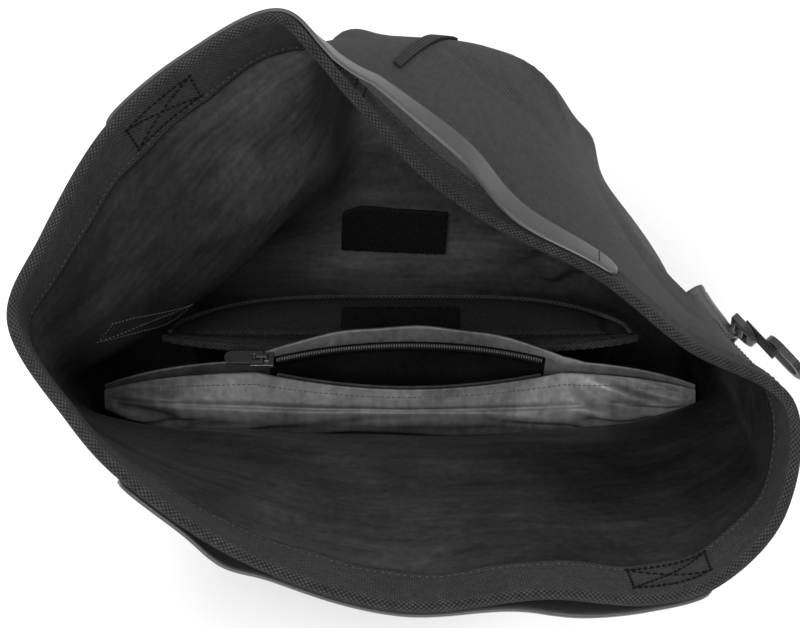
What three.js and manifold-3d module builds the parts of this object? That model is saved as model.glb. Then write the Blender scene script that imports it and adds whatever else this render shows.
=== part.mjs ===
// Roll-top pannier bag for a bicycle rack, standing on its base with its mouth open.
// Millimetres, +Z up. The bike side (back) faces +Y and the outer side (front) faces -Y.
import * as THREE from 'three';
import { mergeVertices } from 'three/addons/utils/BufferGeometryUtils.js';
import Module from 'manifold-3d';

const wasm = await Module();
wasm.setup();

// Cloth thicknesses and the clearance that neighbouring pieces keep
const CLOTH = 2;
const BINDING = 1.2;
const GAP = 0.4;

// Plan sections of the lower body, rounded rectangles written as superellipses
const CORNER_POWER = 3.2;
const FLOOR = { halfWidth: 118, halfDepth: 52, centreY: 30, z: 0 };
const BASE = { ...FLOOR, halfWidth: FLOOR.halfWidth - GAP, halfDepth: FLOOR.halfDepth - GAP };
const FOOT = { halfWidth: 126, halfDepth: 60, centreY: 30, z: 10 };
const WAIST = { halfWidth: 165, halfDepth: 84, centreY: 8, z: 230 };

// The slack top: one row for each station round the mouth. share is the part of the way round,
// from the middle of the back by way of the left side, bend is where the wall folds above the
// waist, and rim is the edge of the mouth.
const STATIONS = [
  { share: 0.0, bend: [-6, 101, 415], rim: [-21, 8, 494] },
  { share: 0.026, bend: [-24, 99, 417], rim: [-39, 24, 508] },
  { share: 0.051, bend: [-40, 62, 375], rim: [-58, 38, 518] },
  { share: 0.1, bend: [-70, 30, 345], rim: [-103, 18, 509] },
  { share: 0.147, bend: [-100, 4, 325], rim: [-139, -13, 498] },
  { share: 0.207, bend: [-136, -18, 310], rim: [-168, -68, 486] },
  { share: 0.25, bend: [-178, -44, 300], rim: [-180.5, -108, 482] },
  { share: 0.307, bend: [-168, -62, 300], rim: [-149, -162, 483] },
  { share: 0.343, bend: [-140, -73, 302], rim: [-124, -190, 481] },
  { share: 0.413, bend: [-76, -78, 305], rim: [-69, -224, 468] },
  { share: 0.49, bend: [-8, -80, 305], rim: [0, -241, 453] },
  { share: 0.559, bend: [50, -80, 305], rim: [65, -239, 462] },
  { share: 0.61, bend: [94, -77, 308], rim: [112, -235, 446] },
  { share: 0.641, bend: [132, -72, 310], rim: [143, -224, 440] },
  { share: 0.689, bend: [170, -56, 318], rim: [175, -192, 445] },
  { share: 0.741, bend: [150, -12, 328], rim: [183, -138, 453] },
  { share: 0.803, bend: [126, 34, 338], rim: [140, -95, 434] },
  { share: 0.855, bend: [104, 64, 353], rim: [98, -55, 434] },
  { share: 0.906, bend: [80, 93, 388], rim: [49, -32, 443] },
  { share: 0.946, bend: [46, 100, 410], rim: [15, -17, 463] },
];

// Soft folds of the wall: place, push out (or in, if negative) and how far each fold spreads.
// level runs 0 at the foot, 1 at the waist, 2 at the bend and 3 at the rim.
const FOLDS = [
  { share: 0.93, level: 2.35, push: -7, wide: 0.03, tall: 0.22 },
  { share: 0.865, level: 1.95, push: 5, wide: 0.018, tall: 0.2 },
  { share: 0.9, level: 1.35, push: -6, wide: 0.022, tall: 0.2 },
  { share: 0.33, level: 1.5, push: 5, wide: 0.04, tall: 0.4 },
  { share: 0.66, level: 1.5, push: 5, wide: 0.04, tall: 0.4 },
  { share: 0.5, level: 1.3, push: 5, wide: 0.09, tall: 0.5 },
];
const FOLD_CENTRE_Y = 8;

// Facets of the cloth
const ARC_STEPS = 720;
const AROUND = 72;
const ROWS_TO_WAIST = 3;
const ROWS_TO_BEND = 4;
const ROWS_TO_HEM = 5;

// The canvas binding over the rim
const HEM_INSIDE = 30;
const HEM_OUTSIDE = 15;
const HEM_GAP = 0.7;
const HEM_CORNER = 0.6;

// Rubber strips outside the rim, held at their ends; sags are where the cloth hangs away from them
const GRIP_THICK = 2.2;
const GRIP_ABOVE_RIM = 1;
const GRIP_STEPS = 28;
const GRIPS = [
  {
    name: 'grip_strip_back',
    from: -0.153,
    to: 0.147,
    below: 16,
    sags: [{ share: -0.062, spread: 0.03, gap: 8 }, { share: -0.03, spread: 0.05, gap: 10 }],
  },
  {
    name: 'grip_strip_front',
    from: 0.343,
    to: 0.641,
    below: 30,
    sags: [{ share: 0.405, spread: 0.016, gap: 4 }, { share: 0.572, spread: 0.03, gap: 6 }],
  },
];

// Padded panel across the inside: it stands on the floor, and its top leans forward in the middle
const PANEL_THICK = 5;
const PANEL_FOOT = { half: 108, y: 47 };
const PANEL_RIDGE = { half: 128, middle: [38, 250], end: [14, 258] };
const PANEL_TOP = { half: 131, middle: [-20, 300], end: [-4, 284] };
const PANEL_BOW = 4;
const PANEL_COLUMNS = 20;
const PANEL_ROWS = [0, 0.5, 1, 1.2, 1.6, 2];
const BINDING_RADIUS = 2.2;
const BINDING_SEGMENTS = 4;

// Grey pouch in front of the panel, drawn as a section in the middle and one at the ends, [y, z],
// from the rear lip down round the bottom and up to the front lip
const POUCH_HALF = 161.7;
const POUCH_CLOTH = 1.2;
const POUCH_TAPER = 4;
const POUCH_MIDDLE = [[-40, 315], [-31, 262], [-34, 205], [-45, 232], [-63, 276], [-62, 295], [-40, 307]];
const POUCH_END = [[-38, 284], [-37, 280], [-39, 271], [-44, 272], [-48, 277], [-45, 281], [-38, 284]];
const POUCH_COLUMNS = 24;
const POUCH_ROWS = 12;
const SLIT = 0.5;

// The zip, open as a lens along the pouch's lips
const LENS_MIDDLE = 5;
const LENS_HALF = 83;
const LENS_OPEN = 11.5;
const LENS_LINE_Y = -39;
const TAPE_HALF = 71;
const TAPE_THICK = 1.3;
const TAPE_DEEP = 6;
const TAPE_STEPS = 12;
const TAPES = [
  { name: 'zip_tape_rear', towards: 1, lip: 0, clear: 0.9 },
  { name: 'zip_tape_front', towards: -1, lip: 1, clear: 0.2 },
];
const SLIDER = { x: -74, long: 13, wide: 8.5, thick: 3, rise: 1 };
const BRIDGE = { long: 6.4, open: 4, high: 3.8, clear: 2.6, wide: 2.4, sunk: 0.5 };
const PULLER = { long: 20, wide: 7.5, thick: 1.6, holeWide: 3.4, bar: 0.8, holeEnd: 5, segments: 8 };

// Hook-and-loop pieces
const PILE_THICK = 1.6;
const PILE_COLUMNS = 6;
const PILE_ROWS = 4;
const PATCH_SEAT = 1.2;
const STRIP_SEAT = 0.8;
const PILE_PATCH = { low: [[-0.031, 0.944], [0.0405, 0.967]], high: [[-0.032, 1.144], [0.04, 1.185]] };
const PILE_STRIP = { from: -0.25, to: 0.25, low: 1.46, high: 1.8 };

// Side hardware: a fabric tube that clears the wall and, on its outer face, a slotted half-round
// with a stub of webbing and a loop
const SIDES = [
  { side: 'right', share: 0.727, level: 2.02, clear: 0.8, forward: -1, swing: 0.15 },
  { side: 'left', share: 0.215, level: 1.15, clear: 0.4, forward: 1, swing: 0.15 },
];
const TAB = { half: 17, out: 8, up: 10, wall: 1.8, segments: 10 };
const HANG = { along: 8, clear: 0.6 };
const LOCK = { radius: 13, neck: 4, thick: 4, segments: 10 };
const LOCK_SLOTS = [{ low: 3, high: 6, half: 9 }, { low: 9, high: 12, half: 7.6 }];
const WEBBING = { from: 6, to: 28, half: 8.5, thick: 2 };
const SIDE_LOOP = { centre: 33, straight: 8, outer: 10, inner: 6.5, thick: 4, segments: 6 };

// Narrow tab on the outside of the back wall
const BACK_TAB = {
  low: [[-0.0375, 1.975], [-0.0295, 1.945]],
  high: [[-0.0182, 2.545], [-0.0135, 2.523]],
  thick: 1.6,
  columns: 3,
  rows: 8,
};

// Rail with two hooks for the bicycle rack, on the back
const RAIL = { half: 65, low: 196, high: 222, thick: 7, backY: 93 };
const HOOK = { at: 46, wide: 18, reach: 20, thick: 5, drop: 30, below: 1 };

// Colours and finishes
const TWILL = { color: 0x2b2b2d, roughness: 0.85, metalness: 0 };
const CANVAS = { color: 0x3a3839, roughness: 0.95, metalness: 0 };
const RUBBER = { color: 0x3c3c3f, roughness: 0.5, metalness: 0 };
const PADDING = { color: 0x131314, roughness: 0.9, metalness: 0 };
const LINING = { color: 0x4c4d50, roughness: 0.7, metalness: 0 };
const COIL = { color: 0x1a1a1b, roughness: 0.6, metalness: 0 };
const GUNMETAL = { color: 0x2a2a2c, roughness: 0.4, metalness: 0.8 };
const PILE = { color: 0x0c0c0d, roughness: 1, metalness: 0 };
const COATED = { color: 0x454547, roughness: 0.6, metalness: 0 };
const PLASTIC = { color: 0x2f2f31, roughness: 0.45, metalness: 0 };
const STRAP = { color: 0x1b1b1c, roughness: 0.9, metalness: 0 };

// Plan section whose arc length runs from the middle of the back by way of the left side
class PlanSection extends THREE.Curve {
  constructor(size) {
    super();
    this.size = size;
    this.arcLengthDivisions = ARC_STEPS;
  }

  getPoint(t, target = new THREE.Vector3()) {
    const { halfWidth, halfDepth, centreY, z } = this.size;
    const angle = 2 * Math.PI * t;
    const rounded = (value) => Math.sign(value) * Math.abs(value) ** (2 / CORNER_POWER);
    const x = -halfWidth * rounded(Math.sin(angle));
    const y = centreY + halfDepth * rounded(Math.cos(angle));
    return target.set(x, y, z);
  }
}

const vector = (numbers) => new THREE.Vector3(...numbers);
const turn = (share) => share - Math.floor(share);
const bell = (distance, spread) => Math.exp(-((distance / spread) ** 2));
const mix = THREE.MathUtils.lerp;

const floorSection = new PlanSection(FLOOR);
const footSection = new PlanSection(FOOT);
const waistSection = new PlanSection(WAIST);
const bendLine = new THREE.CatmullRomCurve3(STATIONS.map((row) => vector(row.bend)), true);
const rimLine = new THREE.CatmullRomCurve3(STATIONS.map((row) => vector(row.rim)), true);

// Share of the way round, turned into the parameter of a closed curve through the stations
function stationParameter(share) {
  const around = turn(share);
  const index = STATIONS.findLastIndex((row) => row.share <= around);
  const start = STATIONS[index].share;
  const end = index + 1 < STATIONS.length ? STATIONS[index + 1].share : 1;
  return (index + (around - start) / (end - start)) / STATIONS.length;
}

// How far the folds push the wall at a place
function foldPush(share, level) {
  let push = 0;
  for (const fold of FOLDS) {
    const apart = turn(share - fold.share + 0.5) - 0.5;
    push += fold.push * bell(apart, fold.wide) * bell(level - fold.level, fold.tall);
  }
  return push;
}

// Outer face of the wall: a rib rises from the foot by the waist and the bend to the rim
function wallPoint(share, level) {
  const t = stationParameter(share);
  const around = turn(share);
  const points = [footSection.getPointAt(around), waistSection.getPointAt(around)];
  points.push(bendLine.getPoint(t), rimLine.getPoint(t));
  const point = new THREE.CatmullRomCurve3(points).getPoint(level / 3);
  const away = new THREE.Vector3(point.x, point.y - FOLD_CENTRE_Y, 0).normalize();
  return point.addScaledVector(away, foldPush(share, level));
}

// The wall's point, its directions along and up, and its outward normal
function wallFrame(share, level) {
  const step = 0.003;
  const point = wallPoint(share, level);
  const along = wallPoint(share + step, level).sub(wallPoint(share - step, level)).normalize();
  const high = wallPoint(share, Math.min(level + step, 3));
  const low = wallPoint(share, Math.max(level - step, 0));
  const up = high.sub(low).normalize();
  const out = along.clone().cross(up).normalize();
  return { point, along, up, out };
}

// Level of the wall a given depth below the rim
function levelBelowRim(share, depth) {
  const last = 0.1;
  const length = wallPoint(share, 3).distanceTo(wallPoint(share, 3 - last));
  return 3 - (depth / length) * last;
}

const offWall = (frame, out, up = 0) =>
  frame.point.clone().addScaledVector(frame.out, out).addScaledVector(frame.up, up);

const steps = (count, from, to) =>
  Array.from({ length: count + 1 }, (_, i) => mix(from, to, i / count));

function geometryOf(points, faces) {
  const geometry = new THREE.BufferGeometry();
  geometry.setFromPoints(points);
  geometry.setIndex(faces);
  return geometry;
}

// Closed skin between two grids of points, grid[column][row]. The outer grid faces along
// (column direction) x (row direction). A ring joins its last column to its first.
function skin(outer, inner, { ring = false } = {}) {
  const columns = outer.length;
  const rows = outer[0].length;
  const top = rows - 1;
  const points = [...outer.flat(), ...inner.flat()];
  const faces = [];
  const quad = (a, b, c, d) => faces.push(a, b, c, a, c, d);
  const out = (i, j) => (i % columns) * rows + j;
  const inn = (i, j) => columns * rows + out(i, j);
  const spans = ring ? columns : columns - 1;
  for (let i = 0; i < spans; i += 1) {
    for (let j = 0; j < top; j += 1) {
      quad(out(i, j), out(i + 1, j), out(i + 1, j + 1), out(i, j + 1));
      quad(inn(i, j), inn(i, j + 1), inn(i + 1, j + 1), inn(i + 1, j));
    }
    quad(out(i, top), out(i + 1, top), inn(i + 1, top), inn(i, top));
    quad(out(i, 0), inn(i, 0), inn(i + 1, 0), out(i + 1, 0));
  }
  if (!ring) {
    for (let j = 0; j < top; j += 1) {
      quad(out(0, j), out(0, j + 1), inn(0, j + 1), inn(0, j));
      quad(out(spans, j), inn(spans, j), inn(spans, j + 1), out(spans, j + 1));
    }
  }
  return geometryOf(points, faces);
}

// Closed bar with the same profile, [out, up], at every frame of a path
function bar(frames, profile) {
  const sides = profile.length;
  const points = frames.flatMap((frame) => profile.map(([out, up]) => offWall(frame, out, up)));
  const faces = [];
  for (let i = 0; i < frames.length - 1; i += 1) {
    for (let k = 0; k < sides; k += 1) {
      const a = i * sides + k;
      const b = i * sides + ((k + 1) % sides);
      faces.push(a, a + sides, b + sides, a, b + sides, b);
    }
  }
  const end = (frames.length - 1) * sides;
  for (let k = 1; k < sides - 1; k += 1) {
    faces.push(0, k, k + 1);
    faces.push(end, end + k + 1, end + k);
  }
  return geometryOf(points, faces);
}

// Patch of cloth that lies on the wall between two offsets from its outer face. Its low and high
// edges run between two places, [share, level].
function wallPatch({ low, high }, near, far, columns, rows) {
  const between = (edge, part) => [0, 1].map((k) => mix(edge[0][k], edge[1][k], part));
  const grid = (offset) => steps(columns, 0, 1).map((part) => {
    const rib = [between(low, part), between(high, part)];
    return steps(rows, 0, 1).map((height) => offWall(wallFrame(...between(rib, height)), offset));
  });
  return skin(grid(far), grid(near));
}

// Joining of solids
function solidOf(geometry) {
  const bare = geometry.clone();
  bare.deleteAttribute('normal');
  bare.deleteAttribute('uv');
  const merged = mergeVertices(bare);
  const vertProperties = new Float32Array(merged.attributes.position.array);
  const triVerts = new Uint32Array(merged.index.array);
  return new wasm.Manifold(new wasm.Mesh({ numProp: 3, vertProperties, triVerts }));
}

function joined(...geometries) {
  const solid = geometries.map(solidOf).reduce((sum, next) => sum.add(next));
  const { vertProperties, triVerts } = solid.getMesh();
  const geometry = new THREE.BufferGeometry();
  geometry.setAttribute('position', new THREE.Float32BufferAttribute(vertProperties, 3));
  geometry.setIndex(Array.from(triVerts));
  return geometry;
}

function piece(name, geometry, look) {
  const mesh = new THREE.Mesh(geometry, new THREE.MeshStandardMaterial(look));
  mesh.name = name;
  return mesh;
}

// Rounded bar profile, counter-clockwise in [out, up]
function softProfile(near, far, low, high) {
  const soft = (far - near) / 3;
  return [
    [near + soft, low], [far - soft, low], [far, low + soft], [far, high - soft],
    [far - soft, high], [near + soft, high], [near, high - soft], [near, low + soft],
  ];
}

// The cloth body: the turned-in foot, the lower walls, and the slack top up to the rim
function bagBody() {
  const outer = [];
  const inner = [];
  for (let i = 0; i < AROUND; i += 1) {
    const share = i / AROUND;
    const hem = levelBelowRim(share, HEM_INSIDE);
    const levels = steps(ROWS_TO_WAIST, 0, 1);
    levels.push(...steps(ROWS_TO_BEND, 1, 2).slice(1));
    levels.push(...steps(ROWS_TO_HEM, 2, hem).slice(1));
    levels.push(levelBelowRim(share, HEM_OUTSIDE), 3);
    const frames = levels.map((level) => wallFrame(share, level));
    const sole = floorSection.getPointAt(share);
    outer.push([sole, ...frames.map((frame) => frame.point)]);
    inner.push([sole.clone().setZ(CLOTH), ...frames.map((frame) => offWall(frame, -CLOTH))]);
  }
  return piece('bag_body', skin(outer, inner, { ring: true }), TWILL);
}

// The base panel fills the foot of the walls
function bagBase() {
  const outline = new PlanSection(BASE).getSpacedPoints(AROUND).slice(1);
  const shape = new THREE.Shape(outline.map(({ x, y }) => new THREE.Vector2(x, y)));
  return piece('bag_base', new THREE.ExtrudeGeometry(shape, { depth: CLOTH, bevelEnabled: false }), TWILL);
}

// The binding folds over the rim: up the outside, across the top and down the inside
function hemBand() {
  const channel = (share, spread) => {
    const outside = wallFrame(share, levelBelowRim(share, HEM_OUTSIDE));
    const top = wallFrame(share, 3);
    const inside = wallFrame(share, levelBelowRim(share, HEM_INSIDE));
    return [
      offWall(outside, spread),
      offWall(top, spread),
      offWall(top, spread * HEM_CORNER, spread),
      offWall(top, -CLOTH - spread * HEM_CORNER, spread),
      offWall(top, -CLOTH - spread),
      offWall(outside, -CLOTH - spread),
      offWall(inside, -CLOTH - spread),
    ];
  };
  const shares = steps(AROUND, 0, 1).slice(0, AROUND);
  const outer = shares.map((share) => channel(share, HEM_GAP + BINDING));
  const inner = shares.map((share) => channel(share, HEM_GAP));
  return piece('hem_band', skin(outer, inner, { ring: true }), CANVAS);
}

function gripStrip({ name, from, to, below, sags }) {
  const seat = HEM_GAP + BINDING + GAP;
  const frames = steps(GRIP_STEPS, from, to).map((share) => {
    const frame = wallFrame(share, 3);
    const sag = sags.reduce((sum, row) => sum + row.gap * bell(share - row.share, row.spread), 0);
    frame.point.addScaledVector(frame.out, seat + sag);
    return frame;
  });
  const profile = softProfile(0, GRIP_THICK, -below, GRIP_ABOVE_RIM);
  return piece(name, bar(frames, profile), RUBBER);
}

// Rear face of the padded panel: across is -1 to 1, level 0 at the floor, 1 at the ridge, 2 on top
function panelPoint(across, level) {
  const bow = Math.abs(across) ** PANEL_BOW;
  const ridgeY = mix(PANEL_RIDGE.middle[0], PANEL_RIDGE.end[0], bow);
  const ridgeZ = mix(PANEL_RIDGE.middle[1], PANEL_RIDGE.end[1], bow);
  const topY = mix(PANEL_TOP.middle[0], PANEL_TOP.end[0], bow);
  const topZ = mix(PANEL_TOP.middle[1], PANEL_TOP.end[1], bow);
  return new THREE.CatmullRomCurve3([
    new THREE.Vector3(across * PANEL_FOOT.half, PANEL_FOOT.y, CLOTH + GAP),
    new THREE.Vector3(across * PANEL_RIDGE.half, ridgeY, ridgeZ),
    new THREE.Vector3(across * PANEL_TOP.half, topY, topZ),
  ]).getPoint(level / 2);
}

function panelFrame(across, level) {
  const step = 0.004;
  const point = panelPoint(across, level);
  const along = panelPoint(across + step, level).sub(panelPoint(across - step, level)).normalize();
  const high = panelPoint(across, Math.min(level + step, 2));
  const low = panelPoint(across, Math.max(level - step, 0));
  const up = high.sub(low).normalize();
  const out = along.clone().cross(up).normalize();
  return { point, along, up, out };
}

function panelGrid(columns, rows, offset) {
  return columns.map((across) => rows.map((level) => offWall(panelFrame(across, level), offset)));
}

function paddedPocket() {
  const columns = steps(PANEL_COLUMNS, -1, 1);
  const front = panelGrid(columns, PANEL_ROWS, PANEL_THICK);
  const rear = panelGrid(columns, PANEL_ROWS, 0);
  front.forEach((column, i) => column[0].setZ(rear[i][0].z));
  return piece('padded_pocket', skin(front, rear), PADDING);
}

// Rolled binding on the panel's top edge
function pocketBinding() {
  const rise = BINDING_RADIUS + GAP;
  const points = steps(PANEL_COLUMNS, -1, 1).map(
    (across) => offWall(panelFrame(across, 2), PANEL_THICK / 2, rise),
  );
  const round = new THREE.Shape().absarc(0, 0, BINDING_RADIUS, 0, 2 * Math.PI);
  const path = new THREE.CatmullRomCurve3(points);
  const options = { extrudePath: path, steps: PANEL_COLUMNS, curveSegments: BINDING_SEGMENTS };
  return piece('pocket_binding', new THREE.ExtrudeGeometry(round, options), CANVAS);
}

// Half the width of the zip's opening at x
function lensOpen(x) {
  return Math.max(LENS_OPEN * (1 - ((x - LENS_MIDDLE) / LENS_HALF) ** 2), 0) + SLIT;
}

// Outer face of the pouch at x, from the rear lip (0) round the bottom to the front lip (1)
function pouchSection(x) {
  const full = 1 - (Math.abs(x) / POUCH_HALF) ** POUCH_TAPER;
  const points = POUCH_MIDDLE.map(([y, z], i) => {
    const [endY, endZ] = POUCH_END[i];
    return new THREE.Vector3(x, mix(endY, y, full), mix(endZ, z, full));
  });
  const lip = mix(POUCH_END[0][0], LENS_LINE_Y, full);
  points[0].setY(lip + lensOpen(x) + POUCH_CLOTH);
  points[points.length - 1].setY(lip - lensOpen(x) - POUCH_CLOTH);
  return new THREE.CatmullRomCurve3(points);
}

function pouchFrame(x, t) {
  const step = 0.004;
  const curve = pouchSection(x);
  const point = curve.getPoint(t);
  const ahead = curve.getPoint(Math.min(t + step, 1));
  const behind = curve.getPoint(Math.max(t - step, 0));
  const up = ahead.sub(behind).normalize();
  const inward = new THREE.Vector3(0, up.z, -up.y);
  return { point, up, inward };
}

function zipPouch() {
  const columns = steps(POUCH_COLUMNS, -1, 1).map((share) => POUCH_HALF * Math.sin(share * Math.PI / 2));
  const rows = steps(POUCH_ROWS, 0, 1);
  const grid = (offset) => columns.map((x) => rows.map((t) => {
    const frame = pouchFrame(x, t);
    return frame.point.addScaledVector(frame.inward, offset);
  }));
  return piece('zip_pouch', skin(grid(0), grid(POUCH_CLOTH)), LINING);
}

// Height of the pouch's rear lip (0) or front lip (1) at x
function lipHeight(x, lip) {
  return pouchSection(x).getPoint(lip).z;
}

// One half of the zip, along the inside of a lip; towards is 1 at the rear and -1 at the front
function zipTape({ name, towards, lip, clear }) {
  const frames = steps(TAPE_STEPS, LENS_MIDDLE + TAPE_HALF, LENS_MIDDLE - TAPE_HALF).map((x) => {
    const y = LENS_LINE_Y + towards * (lensOpen(x) - clear - TAPE_THICK);
    const point = new THREE.Vector3(x, y, lipHeight(x, lip));
    return { point, out: new THREE.Vector3(0, 1, 0), up: new THREE.Vector3(0, 0, 1) };
  });
  const low = Math.min(0, towards * TAPE_THICK);
  const high = Math.max(0, towards * TAPE_THICK);
  return piece(name, bar(frames, softProfile(low, high, -TAPE_DEEP, 0)), COIL);
}

// Slider on the lips at the open end of the zip, with the bridge that holds its puller
function zipSlider(baseZ) {
  const body = new THREE.BoxGeometry(SLIDER.long, SLIDER.wide, SLIDER.thick);
  body.translate(SLIDER.x, LENS_LINE_Y, baseZ + SLIDER.thick / 2);
  const arch = new THREE.Shape();
  const half = BRIDGE.long / 2;
  const inside = BRIDGE.open / 2;
  arch.moveTo(-half, -BRIDGE.sunk);
  arch.lineTo(-inside, -BRIDGE.sunk);
  arch.lineTo(-inside, BRIDGE.clear);
  arch.lineTo(inside, BRIDGE.clear);
  arch.lineTo(inside, -BRIDGE.sunk);
  arch.lineTo(half, -BRIDGE.sunk);
  arch.lineTo(half, BRIDGE.high);
  arch.lineTo(-half, BRIDGE.high);
  const bridge = new THREE.ExtrudeGeometry(arch, { depth: BRIDGE.wide, bevelEnabled: false });
  bridge.rotateX(Math.PI / 2);
  bridge.translate(SLIDER.x, LENS_LINE_Y + BRIDGE.wide / 2, baseZ + SLIDER.thick);
  return piece('zip_slider', joined(body, bridge), GUNMETAL);
}

// Puller: a plate with an eye whose end bar lies under the slider's bridge, on the hinge line
function zipPuller(baseZ) {
  const wide = PULLER.wide / 2;
  const outline = new THREE.Shape();
  outline.moveTo(PULLER.bar, -wide);
  outline.lineTo(PULLER.bar, wide);
  outline.absarc(-PULLER.long + wide, 0, wide, Math.PI / 2, 3 * Math.PI / 2);
  const eye = new THREE.Path();
  eye.moveTo(-PULLER.bar, -PULLER.holeWide / 2);
  eye.lineTo(-PULLER.holeEnd, -PULLER.holeWide / 2);
  eye.lineTo(-PULLER.holeEnd, PULLER.holeWide / 2);
  eye.lineTo(-PULLER.bar, PULLER.holeWide / 2);
  outline.holes.push(eye);
  const options = { depth: PULLER.thick, bevelEnabled: false, curveSegments: PULLER.segments };
  const plate = new THREE.ExtrudeGeometry(outline, options);
  plate.translate(SLIDER.x, LENS_LINE_Y, baseZ + SLIDER.thick + (BRIDGE.clear - PULLER.thick) / 2);
  return piece('zip_puller', plate, GUNMETAL);
}

function loopPatch() {
  const near = -CLOTH - PATCH_SEAT;
  const geometry = wallPatch(PILE_PATCH, near - PILE_THICK, near, PILE_COLUMNS, PILE_ROWS);
  return piece('loop_patch', geometry, PILE);
}

function loopStrip() {
  const columns = steps(PILE_COLUMNS, PILE_STRIP.from, PILE_STRIP.to);
  const rows = steps(PILE_ROWS, PILE_STRIP.low, PILE_STRIP.high);
  const near = panelGrid(columns, rows, -STRIP_SEAT);
  const far = panelGrid(columns, rows, -STRIP_SEAT - PILE_THICK);
  return piece('loop_strip', skin(near, far), PILE);
}

function backTab() {
  const { thick, columns, rows } = BACK_TAB;
  return piece('back_tab', wallPatch(BACK_TAB, GAP, GAP + thick, columns, rows), STRAP);
}

// Flat outline in x and z, as thick as given along y and centred there
function plateOf(shape, thick, curveSegments) {
  const geometry = new THREE.ExtrudeGeometry(shape, { depth: thick, bevelEnabled: false, curveSegments });
  geometry.rotateX(Math.PI / 2);
  geometry.translate(0, thick / 2, 0);
  return geometry;
}

function slotOf({ low, high, half }) {
  const slot = new THREE.Path();
  slot.moveTo(low, -half);
  slot.lineTo(low, half);
  slot.lineTo(high, half);
  slot.lineTo(high, -half);
  return slot;
}

function stadium(kind, straight, radius) {
  const outline = new kind();
  outline.absarc(straight / 2, 0, radius, -Math.PI / 2, Math.PI / 2);
  outline.absarc(-straight / 2, 0, radius, Math.PI / 2, 3 * Math.PI / 2);
  return outline;
}

// Closing hardware on one side: x runs forward along the wall, y out from it and z up or down it
function sideHardware({ side, share, level, clear, forward, swing }) {
  const seat = wallFrame(share, level);
  const along = seat.along.multiplyScalar(forward);
  const up = along.clone().cross(seat.out);
  const hardware = new THREE.Group();
  hardware.applyMatrix4(new THREE.Matrix4().makeBasis(along, seat.out, up));
  hardware.position.copy(seat.point);

  const ring = new THREE.Shape().absellipse(0, 0, TAB.up, TAB.out, 0, 2 * Math.PI);
  const hollow = new THREE.Path();
  ring.holes.push(hollow.absellipse(0, 0, TAB.up - TAB.wall, TAB.out - TAB.wall, 0, 2 * Math.PI));
  const options = { depth: 2 * TAB.half, bevelEnabled: false, curveSegments: TAB.segments };
  const tube = new THREE.ExtrudeGeometry(ring, options);
  tube.rotateY(Math.PI / 2);
  tube.translate(-TAB.half, TAB.out + clear, 0);
  hardware.add(piece(`side_tab_${side}`, tube, COATED));

  const swung = new THREE.Group();
  swung.position.set(HANG.along, clear + 2 * TAB.out + HANG.clear + LOCK.thick / 2, 0);
  swung.rotation.z = swing;
  hardware.add(swung);

  const half = new THREE.Shape();
  half.moveTo(0, LOCK.radius);
  half.lineTo(0, -LOCK.radius);
  half.absarc(LOCK.neck, 0, LOCK.radius, -Math.PI / 2, Math.PI / 2);
  LOCK_SLOTS.forEach((slot) => half.holes.push(slotOf(slot)));
  swung.add(piece(`side_lock_${side}`, plateOf(half, LOCK.thick, LOCK.segments), PLASTIC));

  const strip = new THREE.BoxGeometry(WEBBING.to - WEBBING.from, WEBBING.thick, 2 * WEBBING.half);
  const stripY = LOCK.thick / 2 + GAP + WEBBING.thick / 2;
  strip.translate((WEBBING.from + WEBBING.to) / 2, stripY, 0);
  swung.add(piece(`side_webbing_${side}`, strip, STRAP));

  const loop = stadium(THREE.Shape, SIDE_LOOP.straight, SIDE_LOOP.outer);
  loop.holes.push(stadium(THREE.Path, SIDE_LOOP.straight, SIDE_LOOP.inner));
  const loopPlate = plateOf(loop, SIDE_LOOP.thick, SIDE_LOOP.segments);
  loopPlate.translate(SIDE_LOOP.centre, stripY + WEBBING.thick / 2 + GAP + SIDE_LOOP.thick / 2, 0);
  swung.add(piece(`side_loop_${side}`, loopPlate, PLASTIC));
  return hardware;
}

// Rail on the back wall with two hooks over the rack's tube, moulded as one
function rackHooks() {
  const rail = new THREE.BoxGeometry(2 * RAIL.half, RAIL.thick, RAIL.high - RAIL.low);
  rail.translate(0, RAIL.backY + RAIL.thick / 2, (RAIL.low + RAIL.high) / 2);
  const root = -RAIL.thick / 2;
  const shape = new THREE.Shape();
  shape.moveTo(root, 0);
  shape.lineTo(HOOK.reach, 0);
  shape.lineTo(HOOK.reach, -HOOK.drop);
  shape.lineTo(HOOK.reach - HOOK.thick, -HOOK.drop);
  shape.lineTo(HOOK.reach - HOOK.thick, -HOOK.thick);
  shape.lineTo(root, -HOOK.thick);
  const hooks = [-HOOK.at, HOOK.at].map((x) => {
    const hook = new THREE.ExtrudeGeometry(shape, { depth: HOOK.wide, bevelEnabled: false });
    hook.applyMatrix4(new THREE.Matrix4().makeBasis(
      new THREE.Vector3(0, 1, 0),
      new THREE.Vector3(0, 0, 1),
      new THREE.Vector3(1, 0, 0),
    ));
    hook.translate(x - HOOK.wide / 2, RAIL.backY + RAIL.thick, RAIL.high - HOOK.below);
    return hook;
  });
  return piece('rack_hooks', joined(rail, ...hooks), PLASTIC);
}

const sliderBase = lipHeight(SLIDER.x, 0) + SLIDER.rise;

const bag = new THREE.Group();
bag.add(bagBody(), bagBase(), hemBand(), ...GRIPS.map(gripStrip));
bag.add(paddedPocket(), pocketBinding(), zipPouch());
bag.add(...TAPES.map(zipTape), zipSlider(sliderBase), zipPuller(sliderBase));
bag.add(loopPatch(), loopStrip(), backTab());
bag.add(...SIDES.map(sideHardware), rackHooks());

// The origin is the middle of the base
bag.position.y = -FLOOR.centreY;
const part = new THREE.Group();
part.add(bag);

export default part;
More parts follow.
